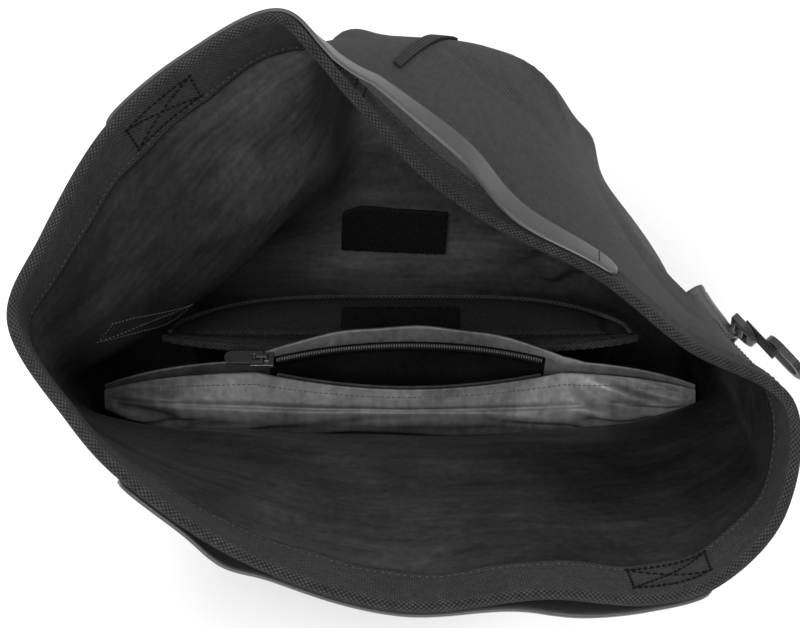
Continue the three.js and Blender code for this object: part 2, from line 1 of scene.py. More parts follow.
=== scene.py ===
# %% [markdown]
# # A roll-top bicycle pannier, seen from above into its open mouth
# The solids come from the CAD frame: the cloth body, the bound rim, the rubber strips, the padded
# panel, the zipped pouch and the small hardware. This lesson dresses each of them as what it is on
# the real bag: woven cloth that sags, a wrinkled lining, sewn seams, a coil zip and moulded plastic.

# %% The CAD frame
import math

import bmesh
import bpy
import numpy as np
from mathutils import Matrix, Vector


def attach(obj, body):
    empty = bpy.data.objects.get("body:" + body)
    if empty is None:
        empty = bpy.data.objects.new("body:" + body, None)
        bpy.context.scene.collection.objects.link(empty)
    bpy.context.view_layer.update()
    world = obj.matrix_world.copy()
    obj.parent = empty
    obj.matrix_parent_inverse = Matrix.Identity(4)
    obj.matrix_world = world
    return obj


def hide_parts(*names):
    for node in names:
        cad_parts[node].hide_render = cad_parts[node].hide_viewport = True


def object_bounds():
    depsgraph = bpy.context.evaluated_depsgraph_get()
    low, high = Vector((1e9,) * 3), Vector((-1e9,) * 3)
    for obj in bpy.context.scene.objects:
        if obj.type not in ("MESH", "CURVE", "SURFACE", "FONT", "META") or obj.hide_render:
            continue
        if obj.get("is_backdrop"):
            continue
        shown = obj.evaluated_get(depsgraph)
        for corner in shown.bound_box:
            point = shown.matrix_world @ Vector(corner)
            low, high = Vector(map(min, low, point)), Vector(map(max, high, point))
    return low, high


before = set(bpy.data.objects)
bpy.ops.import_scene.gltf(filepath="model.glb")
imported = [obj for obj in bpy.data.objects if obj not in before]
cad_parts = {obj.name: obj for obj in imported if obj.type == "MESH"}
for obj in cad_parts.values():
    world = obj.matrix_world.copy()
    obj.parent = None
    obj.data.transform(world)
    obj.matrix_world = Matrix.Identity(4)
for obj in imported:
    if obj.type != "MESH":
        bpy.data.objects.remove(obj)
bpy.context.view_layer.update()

# %% [markdown]
# ## The wall of the bag as one surface
# Everything on this bag lies on its wall, so the wall is written once, as a rule with two numbers:
# share is the part of the way round (0 at the middle of the back, by way of the left side) and level
# is the height (0 foot, 1 waist, 2 bend, 3 rim). The lower body is two rounded rectangles, and the
# slack top is a short table of stations round the mouth. It is the same table that made the solids,
# in millimetres, so cloth made from the rule fits the frame.

# %% Sizes of the wall
MM = 0.001
CLOTH = 2.0
GAP = 0.4
BASE_Y = 30.0
FOLD_CENTRE_Y = 8.0
CORNER_POWER = 3.2
FLOOR = {"half_width": 118, "half_depth": 52, "centre_y": 30, "z": 0}
FOOT = {"half_width": 126, "half_depth": 60, "centre_y": 30, "z": 10}
WAIST = {"half_width": 165, "half_depth": 84, "centre_y": 8, "z": 230}
STATIONS = [
    # share, where the wall bends above the waist, edge of the mouth
    (0.0, (-6, 101, 415), (-21, 8, 494)),
    (0.026, (-24, 99, 417), (-39, 24, 508)),
    (0.051, (-40, 62, 375), (-58, 38, 518)),
    (0.1, (-70, 30, 345), (-103, 18, 509)),
    (0.147, (-100, 4, 325), (-139, -13, 498)),
    (0.207, (-136, -18, 310), (-168, -68, 486)),
    (0.25, (-178, -44, 300), (-180.5, -108, 482)),
    (0.307, (-168, -62, 300), (-149, -162, 483)),
    (0.343, (-140, -73, 302), (-124, -190, 481)),
    (0.413, (-76, -78, 305), (-69, -224, 468)),
    (0.49, (-8, -80, 305), (0, -241, 453)),
    (0.559, (50, -80, 305), (65, -239, 462)),
    (0.61, (94, -77, 308), (112, -235, 446)),
    (0.641, (132, -72, 310), (143, -224, 440)),
    (0.689, (170, -56, 318), (175, -192, 445)),
    (0.741, (150, -12, 328), (183, -138, 453)),
    (0.803, (126, 34, 338), (140, -95, 434)),
    (0.855, (104, 64, 353), (98, -55, 434)),
    (0.906, (80, 93, 388), (49, -32, 443)),
    (0.946, (46, 100, 410), (15, -17, 463)),
]
STATION_SHARES = np.array([row[0] for row in STATIONS] + [1.0])
BENDS = np.array([row[1] for row in STATIONS], float)
RIMS = np.array([row[2] for row in STATIONS], float)
BROAD_FOLDS = [
    # share, level, push out (or in), spread along, spread up
    (0.93, 2.35, -7, 0.03, 0.22),
    (0.865, 1.95, 5, 0.018, 0.2),
    (0.9, 1.35, -6, 0.022, 0.2),
    (0.33, 1.5, 5, 0.04, 0.4),
    (0.66, 1.5, 5, 0.04, 0.4),
    (0.5, 1.3, 5, 0.09, 0.5),
]
print(len(STATIONS), "stations round the mouth,", len(BROAD_FOLDS), "broad folds")


# %% The wall's rule
def between(p0, p1, p2, p3, part):
    """Points on the smooth curve from p1 to p2, whose slopes also look at p0 and p3."""
    d0, d1, d2 = (np.linalg.norm(b - a, axis=-1, keepdims=True) ** 0.5
                  for a, b in ((p0, p1), (p1, p2), (p2, p3)))
    leave = ((p1 - p0) / d0 - (p2 - p0) / (d0 + d1) + (p2 - p1) / d1) * d1
    arrive = ((p2 - p1) / d1 - (p3 - p1) / (d1 + d2) + (p3 - p2) / d2) * d1
    t = part[..., None]
    return (p1 + leave * t + (3 * (p2 - p1) - 2 * leave - arrive) * t**2
            + (2 * (p1 - p2) + leave + arrive) * t**3)


def round_line(points, place):
    """Closed curve through points; place counts points and parts of the way to the next."""
    i = np.floor(place).astype(int)
    at = [points[(i + k) % len(points)] for k in (-1, 0, 1, 2)]
    return between(*at, place - i)


def open_line(knots, t):
    """Curve through knots (..., n, 3) from the first (t 0) to the last (t 1)."""
    last = knots.shape[-2] - 1
    before = 2 * knots[..., :1, :] - knots[..., 1:2, :]
    after = 2 * knots[..., -1:, :] - knots[..., -2:-1, :]
    whole = np.concatenate([before, knots, after], -2)
    place = np.asarray(t, float) * last
    i = np.clip(np.floor(place).astype(int), 0, last - 1)
    at = [np.take_along_axis(whole, (i + k)[..., None, None], -2)[..., 0, :] for k in range(4)]
    return between(*at, place - i)


def plan_section(size, share):
    """Rounded rectangle at one height, walked by arc length from the middle of the back."""
    def corner(angle):
        x, y = -np.sin(angle), np.cos(angle)
        x, y = (np.sign(v) * np.abs(v) ** (2 / CORNER_POWER) for v in (x, y))
        return size["half_width"] * x, size["centre_y"] + size["half_depth"] * y

    angle = np.linspace(0, 2 * np.pi, 721)
    x, y = corner(angle)
    walked = np.concatenate([[0], np.cumsum(np.hypot(np.diff(x), np.diff(y)))])
    x, y = corner(np.interp(share * walked[-1], walked, angle))
    return np.stack([x, y, np.full_like(x, size["z"])], -1)


def bell(distance, spread):
    return np.exp(-((distance / spread) ** 2))


def apart(share, centre):
    """Distance round the bag, the short way, with its sign."""
    return (share - centre + 0.5) % 1.0 - 0.5


def wall(share, level):
    """Outer face of the wall, in metres in the CAD frame."""
    share, level = np.broadcast_arrays(np.asarray(share, float), np.asarray(level, float))
    around = share % 1.0
    place = np.interp(around, STATION_SHARES, np.arange(len(STATIONS) + 1))
    knots = [plan_section(FOOT, around), plan_section(WAIST, around)]
    knots += [round_line(BENDS, place), round_line(RIMS, place)]
    point = open_line(np.stack(knots, -2), level / 3)
    away = point - [0, FOLD_CENTRE_Y, 0]
    away[..., 2] = 0
    away /= np.linalg.norm(away, axis=-1, keepdims=True)
    for at, height, push, wide, tall in BROAD_FOLDS:
        point = point + away * (push * bell(apart(share, at), wide) * bell(level - height, tall))[..., None]
    return (point - [0, BASE_Y, 0]) * MM


def unit(vectors):
    return vectors / np.linalg.norm(vectors, axis=-1, keepdims=True)


def wall_frame(share, level):
    """Point of the wall with its directions along, up and out."""
    step = 0.003
    level = np.asarray(level, float)
    point = wall(share, level)
    along = unit(wall(share + step, level) - wall(share - step, level))
    up = unit(wall(share, np.minimum(level + step, 3)) - wall(share, np.maximum(level - step, 0)))
    return point, along, up, unit(np.cross(along, up))


def level_below_rim(share, depth):
    """Level that lies depth millimetres below the rim."""
    last = 0.1
    length = np.linalg.norm(wall(share, 3.0) - wall(share, 3 - last), axis=-1) / MM
    return 3 - depth / length * last


rim_length = np.linalg.norm(np.diff(wall(np.linspace(0, 1, 400), 3.0), axis=0), axis=-1).sum()
print("the rim is", round(rim_length, 3), "m round")

# %% [markdown]
# ## Creases of slack cloth
# The broad folds are in the solids. Real cloth adds small ones: short ridges that lean across the
# wall and a slow unevenness. They could be sculpted by hand, but a table of ridges, each with its
# place, lean and size, is easy to read and to change. Near sewn-on hardware the ridges fade away,
# so the cloth stays clear of it.

# %% Table of creases
CREASES = [
    # share, level, lean in degrees, length, width, push, all in mm on the cloth
    (0.945, 2.28, -24, 46, 5, -3.4),
    (0.905, 2.12, -38, 30, 5, 2.6),
    (0.868, 1.98, 70, 20, 6, 2.2),
    (0.899, 0.93, -35, 26, 4, 4.6),
    (0.886, 0.87, -62, 22, 4, -4.2),
    (0.873, 0.83, -20, 24, 4, 4.2),
    (0.912, 1.0, -12, 30, 5, -3.2),
    (0.895, 0.80, 30, 22, 4, 3.4),
    (0.04, 2.62, 52, 60, 9, -2.2),
    (0.085, 2.4, 60, 70, 10, 2.0),
    (0.13, 2.3, 48, 60, 8, -1.8),
    (0.2, 2.55, 20, 42, 7, 2.0),
    (0.238, 2.45, -12, 40, 7, -2.2),
    (0.285, 2.3, 14, 50, 9, 2.2),
    (0.345, 2.2, 8, 60, 8, -1.8),
    (0.4, 2.42, -6, 70, 7, 1.6),
    (0.46, 2.3, 5, 80, 7, -1.8),
    (0.52, 2.45, -5, 70, 7, 1.6),
    (0.575, 2.25, 8, 60, 8, -1.8),
    (0.635, 2.4, -14, 50, 8, 2.0),
    (0.69, 2.45, 30, 44, 8, -2.2),
    (0.76, 2.5, -35, 50, 8, 2.0),
    (0.82, 2.45, -50, 50, 9, -1.8),
    (0.45, 0.55, 62, 90, 14, 2.0),
    (0.56, 0.5, -58, 90, 14, -2.0),
    (0.06, 0.5, 60, 80, 14, 2.0),
    (0.94, 0.45, -62, 80, 14, -2.0),
    (0.28, 0.7, 75, 70, 12, 2.2),
    (0.72, 0.65, -75, 70, 12, -2.2),
]
CALM_PLACES = [
    # share, level, spread along, spread up: where hardware or the pouch meets the cloth
    (0.0, 0.9, 0.07, 0.2),
    (0.727, 2.0, 0.05, 0.3),
    (0.98, 2.25, 0.03, 0.4),
    (0.215, 1.15, 0.05, 0.3),
    (0.27, 1.5, 0.05, 0.5),
    (0.72, 1.5, 0.05, 0.5),
]
MM_PER_SHARE = 900
MM_PER_LEVEL = 170
RIM_CALM_MM = 34
CALM_FADE = 0.15


def creases(share, level):
    """Push of the small folds along the wall's outward direction, in metres."""
    push = 0.5 * np.sin(2 * np.pi * (5 * share + 0.3 * level)) * np.sin(2.3 * level + 9 * share)
    push = push + 0.4 * np.sin(2 * np.pi * (11 * share - 0.45 * level) + 1.7)
    for at, height, lean, length, width, size in CREASES:
        a = apart(share, at) * MM_PER_SHARE
        b = (level - height) * MM_PER_LEVEL
        turn = math.radians(lean)
        on = a * math.cos(turn) + b * math.sin(turn)
        off = b * math.cos(turn) - a * math.sin(turn)
        push = push + size * bell(on, length) * bell(off, width)
    for at, height, wide, tall in CALM_PLACES:
        push = push * (1 - bell(apart(share, at), wide) ** 0.5 * bell(level - height, tall) ** 0.5)
    rim_calm = np.clip((level_below_rim(share, RIM_CALM_MM) - level) / CALM_FADE, 0, 1)
    floor_calm = np.clip(level / CALM_FADE, 0, 1)
    return push * rim_calm * floor_calm * MM


def on_wall(share, level, offset, rise=0.0):
    """Point of the creased cloth, offset outwards and raised along it, both in millimetres."""
    share, level = np.broadcast_arrays(np.asarray(share, float), np.asarray(level, float))
    point, along, up, out = wall_frame(share, level)
    push = creases(share, level) + np.asarray(offset, float) * MM
    return point + out * np.asarray(push)[..., None] + up * (np.asarray(rise, float) * MM)[..., None]


print(len(CREASES), "creases,", len(CALM_PLACES), "calm places")

# %% [markdown]
# ## From grids of points to cloth
# Cloth has two faces and an edge. A Solidify modifier could thicken one surface, but here both faces
# come from the same rule with two offsets, so one helper joins two grids of points into a closed skin.
# It also writes a UV map in metres, so that a weave keeps its real size wherever the cloth goes.

# %% Closed skins
def to_scene(name, data):
    """An object at the origin that shows a mesh, a light or a camera."""
    thing = bpy.data.objects.new(name, data)
    bpy.context.scene.collection.objects.link(thing)
    return thing


def add_object(name, points, faces, materials, uvs=None, marks=None):
    """A smooth mesh object at the origin, with its materials and its UV map."""
    mesh = bpy.data.meshes.new(name)
    mesh.from_pydata(np.asarray(points, float).tolist(), [], faces)
    for material in materials:
        mesh.materials.append(material)
    if marks is not None:
        mesh.polygons.foreach_set("material_index", np.asarray(marks, np.int32))
    if uvs is not None:
        layer = mesh.uv_layers.new(name="cloth")
        layer.data.foreach_set("uv", np.asarray(uvs, np.float32).ravel())
    mesh.polygons.foreach_set("use_smooth", np.ones(len(mesh.polygons), bool))
    mesh.update()
    return to_scene(name, mesh)


def lengths_along(grid, ring=False):
    """UV of a grid in metres: the way along its columns and up its rows, from its own distances."""
    whole = np.concatenate([grid, grid[:1]]) if ring else grid
    along = np.linalg.norm(np.diff(whole, axis=0), axis=-1).mean(1)
    up = np.linalg.norm(np.diff(whole, axis=1), axis=-1).mean(0)
    u = np.concatenate([[0], np.cumsum(along)])
    v = np.concatenate([[0], np.cumsum(up)])
    return np.stack(np.meshgrid(u, v, indexing="ij"), -1)


def skin(name, outer, inner, materials, ring=False, floor=False):
    """Closed skin between two grids (columns, rows, 3). The outer grid faces along x up."""
    columns, rows = outer.shape[:2]
    spans = columns if ring else columns - 1
    i, j = (a.ravel() for a in np.meshgrid(np.arange(spans), np.arange(rows - 1), indexing="ij"))
    k, m = np.arange(spans), np.arange(rows - 1)
    face = [(np.stack([i, i + 1, i + 1, i], 1), np.stack([j, j, j + 1, j + 1], 1), [0, 0, 0, 0]),
            (np.stack([i, i, i + 1, i + 1], 1), np.stack([j, j + 1, j + 1, j], 1), [1, 1, 1, 1]),
            (np.stack([k, k + 1, k + 1, k], 1), np.full((spans, 4), rows - 1), [0, 0, 1, 1])]
    if not floor:
        face.append((np.stack([k, k, k + 1, k + 1], 1), np.zeros((spans, 4), int), [0, 1, 1, 0]))
    if not ring:
        face.append((np.zeros((rows - 1, 4), int), np.stack([m, m + 1, m + 1, m], 1), [0, 0, 1, 1]))
        face.append((np.full((rows - 1, 4), spans), np.stack([m, m, m + 1, m + 1], 1), [0, 1, 1, 0]))
    uv = lengths_along(outer, ring)
    points = np.concatenate([outer.reshape(-1, 3), inner.reshape(-1, 3)])
    corners = [np.array(s) * columns * rows + (c % columns) * rows + r for c, r, s in face]
    faces = np.concatenate(corners).tolist()
    uvs = np.concatenate([uv[c, r].reshape(-1, 2) for c, r, s in face])
    marks = np.concatenate([np.full(len(c), int(sum(s) == 4 and len(materials) > 1)) for c, r, s in face])
    if floor:
        ends = np.stack([outer[:, 0].mean(0), inner[:, 0].mean(0)])
        below, above = len(points), len(points) + 1
        points = np.concatenate([points, ends])
        first, after = k * rows, (k + 1) % columns * rows
        inside = columns * rows
        fans = np.concatenate([np.stack([np.full(spans, below), after, first], 1),
                               np.stack([np.full(spans, above), inside + first, inside + after], 1)])
        faces += fans.tolist()
        uvs = np.concatenate([uvs, points[fans][..., :2].reshape(-1, 2)])
        marks = np.concatenate([marks, np.zeros(spans, int), np.full(spans, len(materials) - 1)])
    return add_object(name, points, faces, materials, uvs, marks)


def bar(name, frames, profile, materials):
    """Closed bar: at each of the frames (point, up, out) the profile's (out, up) in millimetres."""
    point, up, out = frames
    profile = np.asarray(profile, float) * MM
    if profile.ndim == 2:
        profile = np.broadcast_to(profile, (len(point), *profile.shape))
    rings = point[:, None] + profile[..., :1] * out[:, None] + profile[..., 1:] * up[:, None]
    count, sides = rings.shape[:2]
    i, j = (a.ravel() for a in np.meshgrid(np.arange(count - 1), np.arange(sides), indexing="ij"))
    after = (j + 1) % sides
    faces = np.stack([i * sides + j, (i + 1) * sides + j, (i + 1) * sides + after, i * sides + after], 1)
    last = (count - 1) * sides
    ends = [list(range(sides)), [last + s for s in reversed(range(sides))]]
    closed = np.concatenate([rings, rings[:, :1]], 1)
    uv = lengths_along(closed)
    corner_i, corner_j = np.stack([i, i + 1, i + 1, i], 1), np.stack([j, j, j + 1, j + 1], 1)
    uvs = [uv[corner_i, corner_j].reshape(-1, 2), uv[0, :sides], uv[-1, :sides][::-1]]
    return add_object(name, rings.reshape(-1, 3), faces.tolist() + ends, materials, np.concatenate(uvs))


print("helpers for closed skins and bars are ready")

# %% [markdown]
# ## Woven finishes
# Each cloth is threads over threads. Painted images could show that, but a wave pattern on the UV map
# in metres keeps its size and stays sharp. Twill is one slanted wave, canvas is two crossed waves, and
# a lining is so fine that only its streaks and its sheen show. Large soft noise keeps them from
# looking printed.

# %% Node helpers
def start_finish(name, rough, sheen=0.0, metal=0.0, gloss=0.5):
    """A new material with its constant values on the shader's own sockets."""
    material = bpy.data.materials.new(name)
    material.use_nodes = True
    tree = material.node_tree
    shader = tree.nodes["Principled BSDF"]
    shader.inputs["Roughness"].default_value = rough
    shader.inputs["Metallic"].default_value = metal
    shader.inputs["Sheen Weight"].default_value = sheen
    shader.inputs["Sheen Roughness"].default_value = 0.5
    shader.inputs["Specular IOR Level"].default_value = gloss
    return material, tree, shader


def node(tree, kind, links=(), **values):
    """Adds a node, sets its properties and its inputs, and links sockets into it by input name."""
    made = tree.nodes.new(kind)
    for key, value in values.items():
        if key in made.inputs:
            made.inputs[key].default_value = value
        else:
            setattr(made, key, value)
    for key, socket in links:
        tree.links.new(socket, made.inputs[key])
    return made


def coordinates(tree, kind):
    return node(tree, "ShaderNodeTexCoord").outputs[kind]


def ranged(tree, value, low, high, blend="LINEAR"):
    """A value mapped from one range to another; low and high are pairs (from, to)."""
    span = node(tree, "ShaderNodeMapRange", [("Value", value)], interpolation_type=blend)
    for key, number in zip(("From Min", "To Min", "From Max", "To Max"), (*low, *high)):
        span.inputs[key].default_value = number
    return span.outputs["Result"]


def waves(tree, place, period, direction):
    """Bands of one thread width each; a Wave texture repeats every 0.314 units at scale 1."""
    spread = 0.6283 if direction == "DIAGONAL" else 0.31416
    made = node(tree, "ShaderNodeTexWave", [("Vector", place)], bands_direction=direction,
                Scale=spread / period, Distortion=0.6, Detail=1.0)
    made.inputs["Detail Scale"].default_value = 0.4
    return made.outputs["Fac"]


def blotches(tree, size, low, high, stretch=(1, 1, 1)):
    """Slow noise on Object coordinates, mapped to a range of brightness."""
    place = coordinates(tree, "Object")
    turned = node(tree, "ShaderNodeMapping", [("Vector", place)], Scale=stretch)
    noise = node(tree, "ShaderNodeTexNoise", [("Vector", turned.outputs["Vector"])],
                 Scale=1 / size, Detail=4.0, Roughness=0.55)
    return ranged(tree, noise.outputs["Fac"], (0.25, low), (0.75, high))


def mix_colours(tree, factor, dark, light):
    made = node(tree, "ShaderNodeMix", data_type="RGBA")
    tree.links.new(factor, made.inputs["Factor"])
    made.inputs[6].default_value = (*dark, 1)
    made.inputs[7].default_value = (*light, 1)
    return made.outputs[2]


def dim(tree, colour, amount):
    """A colour made brighter or darker by a number."""
    made = node(tree, "ShaderNodeVectorMath", [(0, colour)], operation="SCALE")
    tree.links.new(amount, made.inputs["Scale"])
    return made.outputs["Vector"]


def raise_by(tree, shader, height, depth, strength=1.0, rumple=0.0):
    """Relief of the threads, on top of soft rumples a few centimetres wide."""
    links = [("Height", height)]
    if rumple:
        slow = node(tree, "ShaderNodeBump", [("Height", blotches(tree, 0.035, 0.0, 1.0, (1, 1, 0.45)))],
                    Strength=0.6, Distance=rumple)
        links.append(("Normal", slow.outputs["Normal"]))
    bump = node(tree, "ShaderNodeBump", links, Strength=strength, Distance=depth)
    tree.links.new(bump.outputs["Normal"], shader.inputs["Normal"])


def painted_light_along(tree, axis, low, high):
    """Painted light and shade by place along an axis: low and high are (metres, brightness), blended between.
    """
    parts = node(tree, "ShaderNodeSeparateXYZ", [("Vector", coordinates(tree, "Object"))])
    return ranged(tree, parts.outputs[axis], low, high, "SMOOTHSTEP")


def maths(tree, operation, first, second):
    made = node(tree, "ShaderNodeMath", [(0, first)], operation=operation)
    if isinstance(second, (int, float)):
        made.inputs[1].default_value = second
    else:
        tree.links.new(second, made.inputs[1])
    return made.outputs["Value"]


def grey(value):
    return (value, value, value)


print("node helpers are ready")

# %% Twill, canvas and linings
def twill_finish():
    material, tree, shader = start_finish("twill_outside", 0.75, sheen=0.05, gloss=0.25)
    place = coordinates(tree, "UV")
    slant = waves(tree, place, 0.0021, "DIAGONAL")
    cross = waves(tree, place, 0.0014, "X")
    weave = maths(tree, "MULTIPLY", slant, maths(tree, "ADD", maths(tree, "MULTIPLY", cross, 0.5), 0.5))
    colour = mix_colours(tree, weave, grey(0.004), grey(0.045))
    fleck = maths(tree, "MULTIPLY", blotches(tree, 0.05, 0.8, 1.15), blotches(tree, 0.0035, 0.6, 1.4))
    tree.links.new(dim(tree, colour, fleck), shader.inputs["Base Color"])
    raise_by(tree, shader, weave, 0.0006, 0.9, rumple=0.0015)
    return material


def canvas_finish():
    material, tree, shader = start_finish("canvas_binding", 0.85, sheen=0.05, gloss=0.2)
    place = coordinates(tree, "UV")
    warp = waves(tree, place, 0.0025, "X")
    weft = waves(tree, place, 0.0020, "Y")
    weave = maths(tree, "ABSOLUTE", maths(tree, "SUBTRACT", warp, weft), 0.0)
    colour = mix_colours(tree, weave, grey(0.001), grey(0.042))
    fleck = maths(tree, "MULTIPLY", blotches(tree, 0.03, 0.7, 1.2), blotches(tree, 0.004, 0.5, 1.5))
    tree.links.new(dim(tree, colour, fleck), shader.inputs["Base Color"])
    raise_by(tree, shader, weave, 0.0009, 1.0, rumple=0.0015)
    return material


def lining_finish(name, dark, light, rough, gloss, streak, rumple, painted_light_tones=()):
    """Fine plain weave: streaks along the threads, soft rumples, and painted light and shade that change with
    place; the same factors scale the gloss.
    """
    material, tree, shader = start_finish(name, rough, gloss=gloss)
    place = coordinates(tree, "UV")
    long_threads = node(tree, "ShaderNodeMapping", [("Vector", place)], Scale=streak)
    noise = node(tree, "ShaderNodeTexNoise", [("Vector", long_threads.outputs["Vector"])],
                 Scale=1.0, Detail=5.0, Roughness=0.6)
    colour = mix_colours(tree, noise.outputs["Fac"], grey(dark), grey(light))
    amount = maths(tree, "MULTIPLY", blotches(tree, 0.05, 0.5, 1.45), blotches(tree, 0.004, 0.75, 1.25))
    # Painted light and shade: brightness factors by place multiply the colour and the gloss.
    for painted_tone in painted_light_tones:
        amount = maths(tree, "MULTIPLY", amount, painted_light_along(tree, *painted_tone))
    tree.links.new(maths(tree, "MULTIPLY", amount, gloss), shader.inputs["Specular IOR Level"])
    tree.links.new(dim(tree, colour, amount), shader.inputs["Base Color"])
    raise_by(tree, shader, noise.outputs["Fac"], 0.0003, 0.5, rumple=rumple)
    return material


twill = twill_finish()
canvas = canvas_finish()
# Painted light and shade on the bag's lining: along Y the back inner wall is made much lighter than the near
# wall, along X it darkens toward the right under the right wall's overhang, and along Z a band of painted
# shade lies under the overhanging left wall, with painted light lower down.
BAG_PAINTED_LIGHT_AND_SHADE = [("Y", (-0.045, 0.95), (0.03, 3.6)), ("X", (-0.02, 1.0), (0.12, 0.5)),
             ("Z", (0.295, 0.4), (0.345, 1.0)), ("Z", (0.205, 2.2), (0.26, 1.0))]
# Painted highlights on the pouch: both ends are made lighter, the right end most, where its cloth faces the
# light.
POUCH_PAINTED_HIGHLIGHTS = [("X", (-0.13, 1.6), (-0.06, 1.0)), ("X", (0.03, 1.0), (0.12, 2.0))]
bag_lining = lining_finish("bag_lining", 0.008, 0.042, 0.42, 0.3, (14, 160, 1), 0.0022, BAG_PAINTED_LIGHT_AND_SHADE)
pouch_lining = lining_finish("pouch_lining", 0.024, 0.094, 0.5, 0.3, (170, 22, 1), 0.0014, POUCH_PAINTED_HIGHLIGHTS)
# Painted shade: the pouch's inside face is the same grey lining made near black, for the shade inside the
# pocket.
pouch_inside_shade = lining_finish("pouch_inside_shade", 0.002, 0.006, 0.7, 0.1, (170, 22, 1), 0.001)
print("woven finishes:", twill.name, canvas.name, bag_lining.name, pouch_lining.name)


# %% Rubber, padding, pile, plastic, metal and thread
def plain_finish(name, dark, light, rough, size, depth, metal=0.0, gloss=0.5):
    """A moulded or matted surface: noise of one size makes its colour and its relief."""
    material, tree, shader = start_finish(name, rough, metal=metal, gloss=gloss)
    grain = blotches(tree, size, 0.0, 1.0)
    colour = mix_colours(tree, grain, grey(dark), grey(light))
    tree.links.new(dim(tree, colour, blotches(tree, size * 25, 0.88, 1.08)), shader.inputs["Base Color"])
    raise_by(tree, shader, grain, depth, 0.5)
    return material


def striped_finish(name, dark, light, rough, period):
    """Webbing: ribs across its length, with the weave's gaps dark between them."""
    material, tree, shader = start_finish(name, rough, gloss=0.25)
    place = coordinates(tree, "UV")
    ribs = waves(tree, place, period, "X")
    threads = waves(tree, place, period * 0.6, "Y")
    weave = maths(tree, "MULTIPLY", ribs, maths(tree, "ADD", maths(tree, "MULTIPLY", threads, 0.4), 0.6))
    colour = mix_colours(tree, weave, grey(dark), grey(light))
    tree.links.new(dim(tree, colour, blotches(tree, 0.02, 0.85, 1.1)), shader.inputs["Base Color"])
    raise_by(tree, shader, weave, 0.0006, 0.8)
    return material


strip_rubber = plain_finish("strip_rubber", 0.032, 0.042, 0.42, 0.0009, 0.00012)
pad_cloth = plain_finish("pad_cloth", 0.007, 0.028, 0.95, 0.0014, 0.0006, gloss=0.1)
pile_black = plain_finish("pile_black", 0.002, 0.010, 0.97, 0.0012, 0.0009, gloss=0.05)
coil_plastic = plain_finish("coil_plastic", 0.05, 0.08, 0.3, 0.002, 0.0001)
dark_metal = plain_finish("dark_metal", 0.07, 0.11, 0.3, 0.0015, 0.00008, metal=0.85)
moulded_plastic = plain_finish("moulded_plastic", 0.014, 0.021, 0.36, 0.0006, 0.00008)
coated_cloth = plain_finish("coated_cloth", 0.034, 0.048, 0.5, 0.0016, 0.0002)
webbing = striped_finish("webbing", 0.006, 0.030, 0.8, 0.0018)
dark_thread = plain_finish("dark_thread", 0.001, 0.004, 0.8, 0.0008, 0.0001, gloss=0.1)
grey_thread = plain_finish("grey_thread", 0.040, 0.065, 0.6, 0.0008, 0.0001)
hem_thread = plain_finish("hem_thread", 0.018, 0.032, 0.7, 0.0008, 0.0001)
pale_thread = plain_finish("pale_thread", 0.07, 0.11, 0.6, 0.0008, 0.0001)
print(len(bpy.data.materials), "materials in the file")

# %% [markdown]
# ## The cloth body
# The bag itself is one sewn shell: a stiffened base, lower walls, and a slack top that has slumped so
# that the far wall folds forward over the inside. It could be draped by a cloth simulation, but then
# the folds would land where they like. The wall's rule puts them where the photo has them, and the
# creases make it cloth. Outside it is twill, inside it is a dark lining.

# %% Body of the bag
BODY_COLUMNS = 300
BODY_ROWS = 116
CORNER_ROWS = 5

body_shares = np.arange(BODY_COLUMNS) / BODY_COLUMNS
body_levels = np.linspace(0, 3, BODY_ROWS)


def body_grid(offset):
    """Rows from the sole round the base's corner and up the wall to the rim."""
    s, l = np.meshgrid(body_shares, body_levels, indexing="ij")
    upper = on_wall(s, l, offset)
    sole = (plan_section(FLOOR, body_shares) - [0, BASE_Y, 0]) * MM
    sole[:, 2] = max(-offset, 0) * MM
    foot = upper[:, 0]
    rows = []
    for turn in np.linspace(0, math.pi / 2, CORNER_ROWS, endpoint=False):
        row = sole + (foot - sole) * math.sin(turn)
        row[:, 2] = sole[:, 2] + (foot[:, 2] - sole[:, 2]) * (1 - math.cos(turn))
        rows.append(row)
    return np.concatenate([np.stack(rows, 1), upper], 1)


bag_cloth = skin("bag_cloth", body_grid(0), body_grid(-CLOTH), [twill, bag_lining], ring=True, floor=True)
print(bag_cloth.name, len(bag_cloth.data.polygons), "faces")

# %% [markdown]
# ## The canvas binding
# A strip of coarse canvas is folded over the rim and sewn through. Its section is a narrow hairpin: a
# short leg outside, a round fold, and a longer leg inside. Sweeping that section round the rim keeps the
# binding on the cloth; a small dent along the seam shows where the thread pulls it in.

# %% Binding over the rim
HEM_OUTSIDE = 15.0
HEM_INSIDE = 30.0
HEM_GAP = 0.7
BINDING = 1.2
SEAM_ABOVE_EDGE = 4.0


def hem_wave(share):
    """The binding's lower edge isn't cut dead straight."""
    return 1.3 * np.sin(2 * np.pi * 9 * share + 0.8) + 0.9 * np.sin(2 * np.pi * 23 * share)


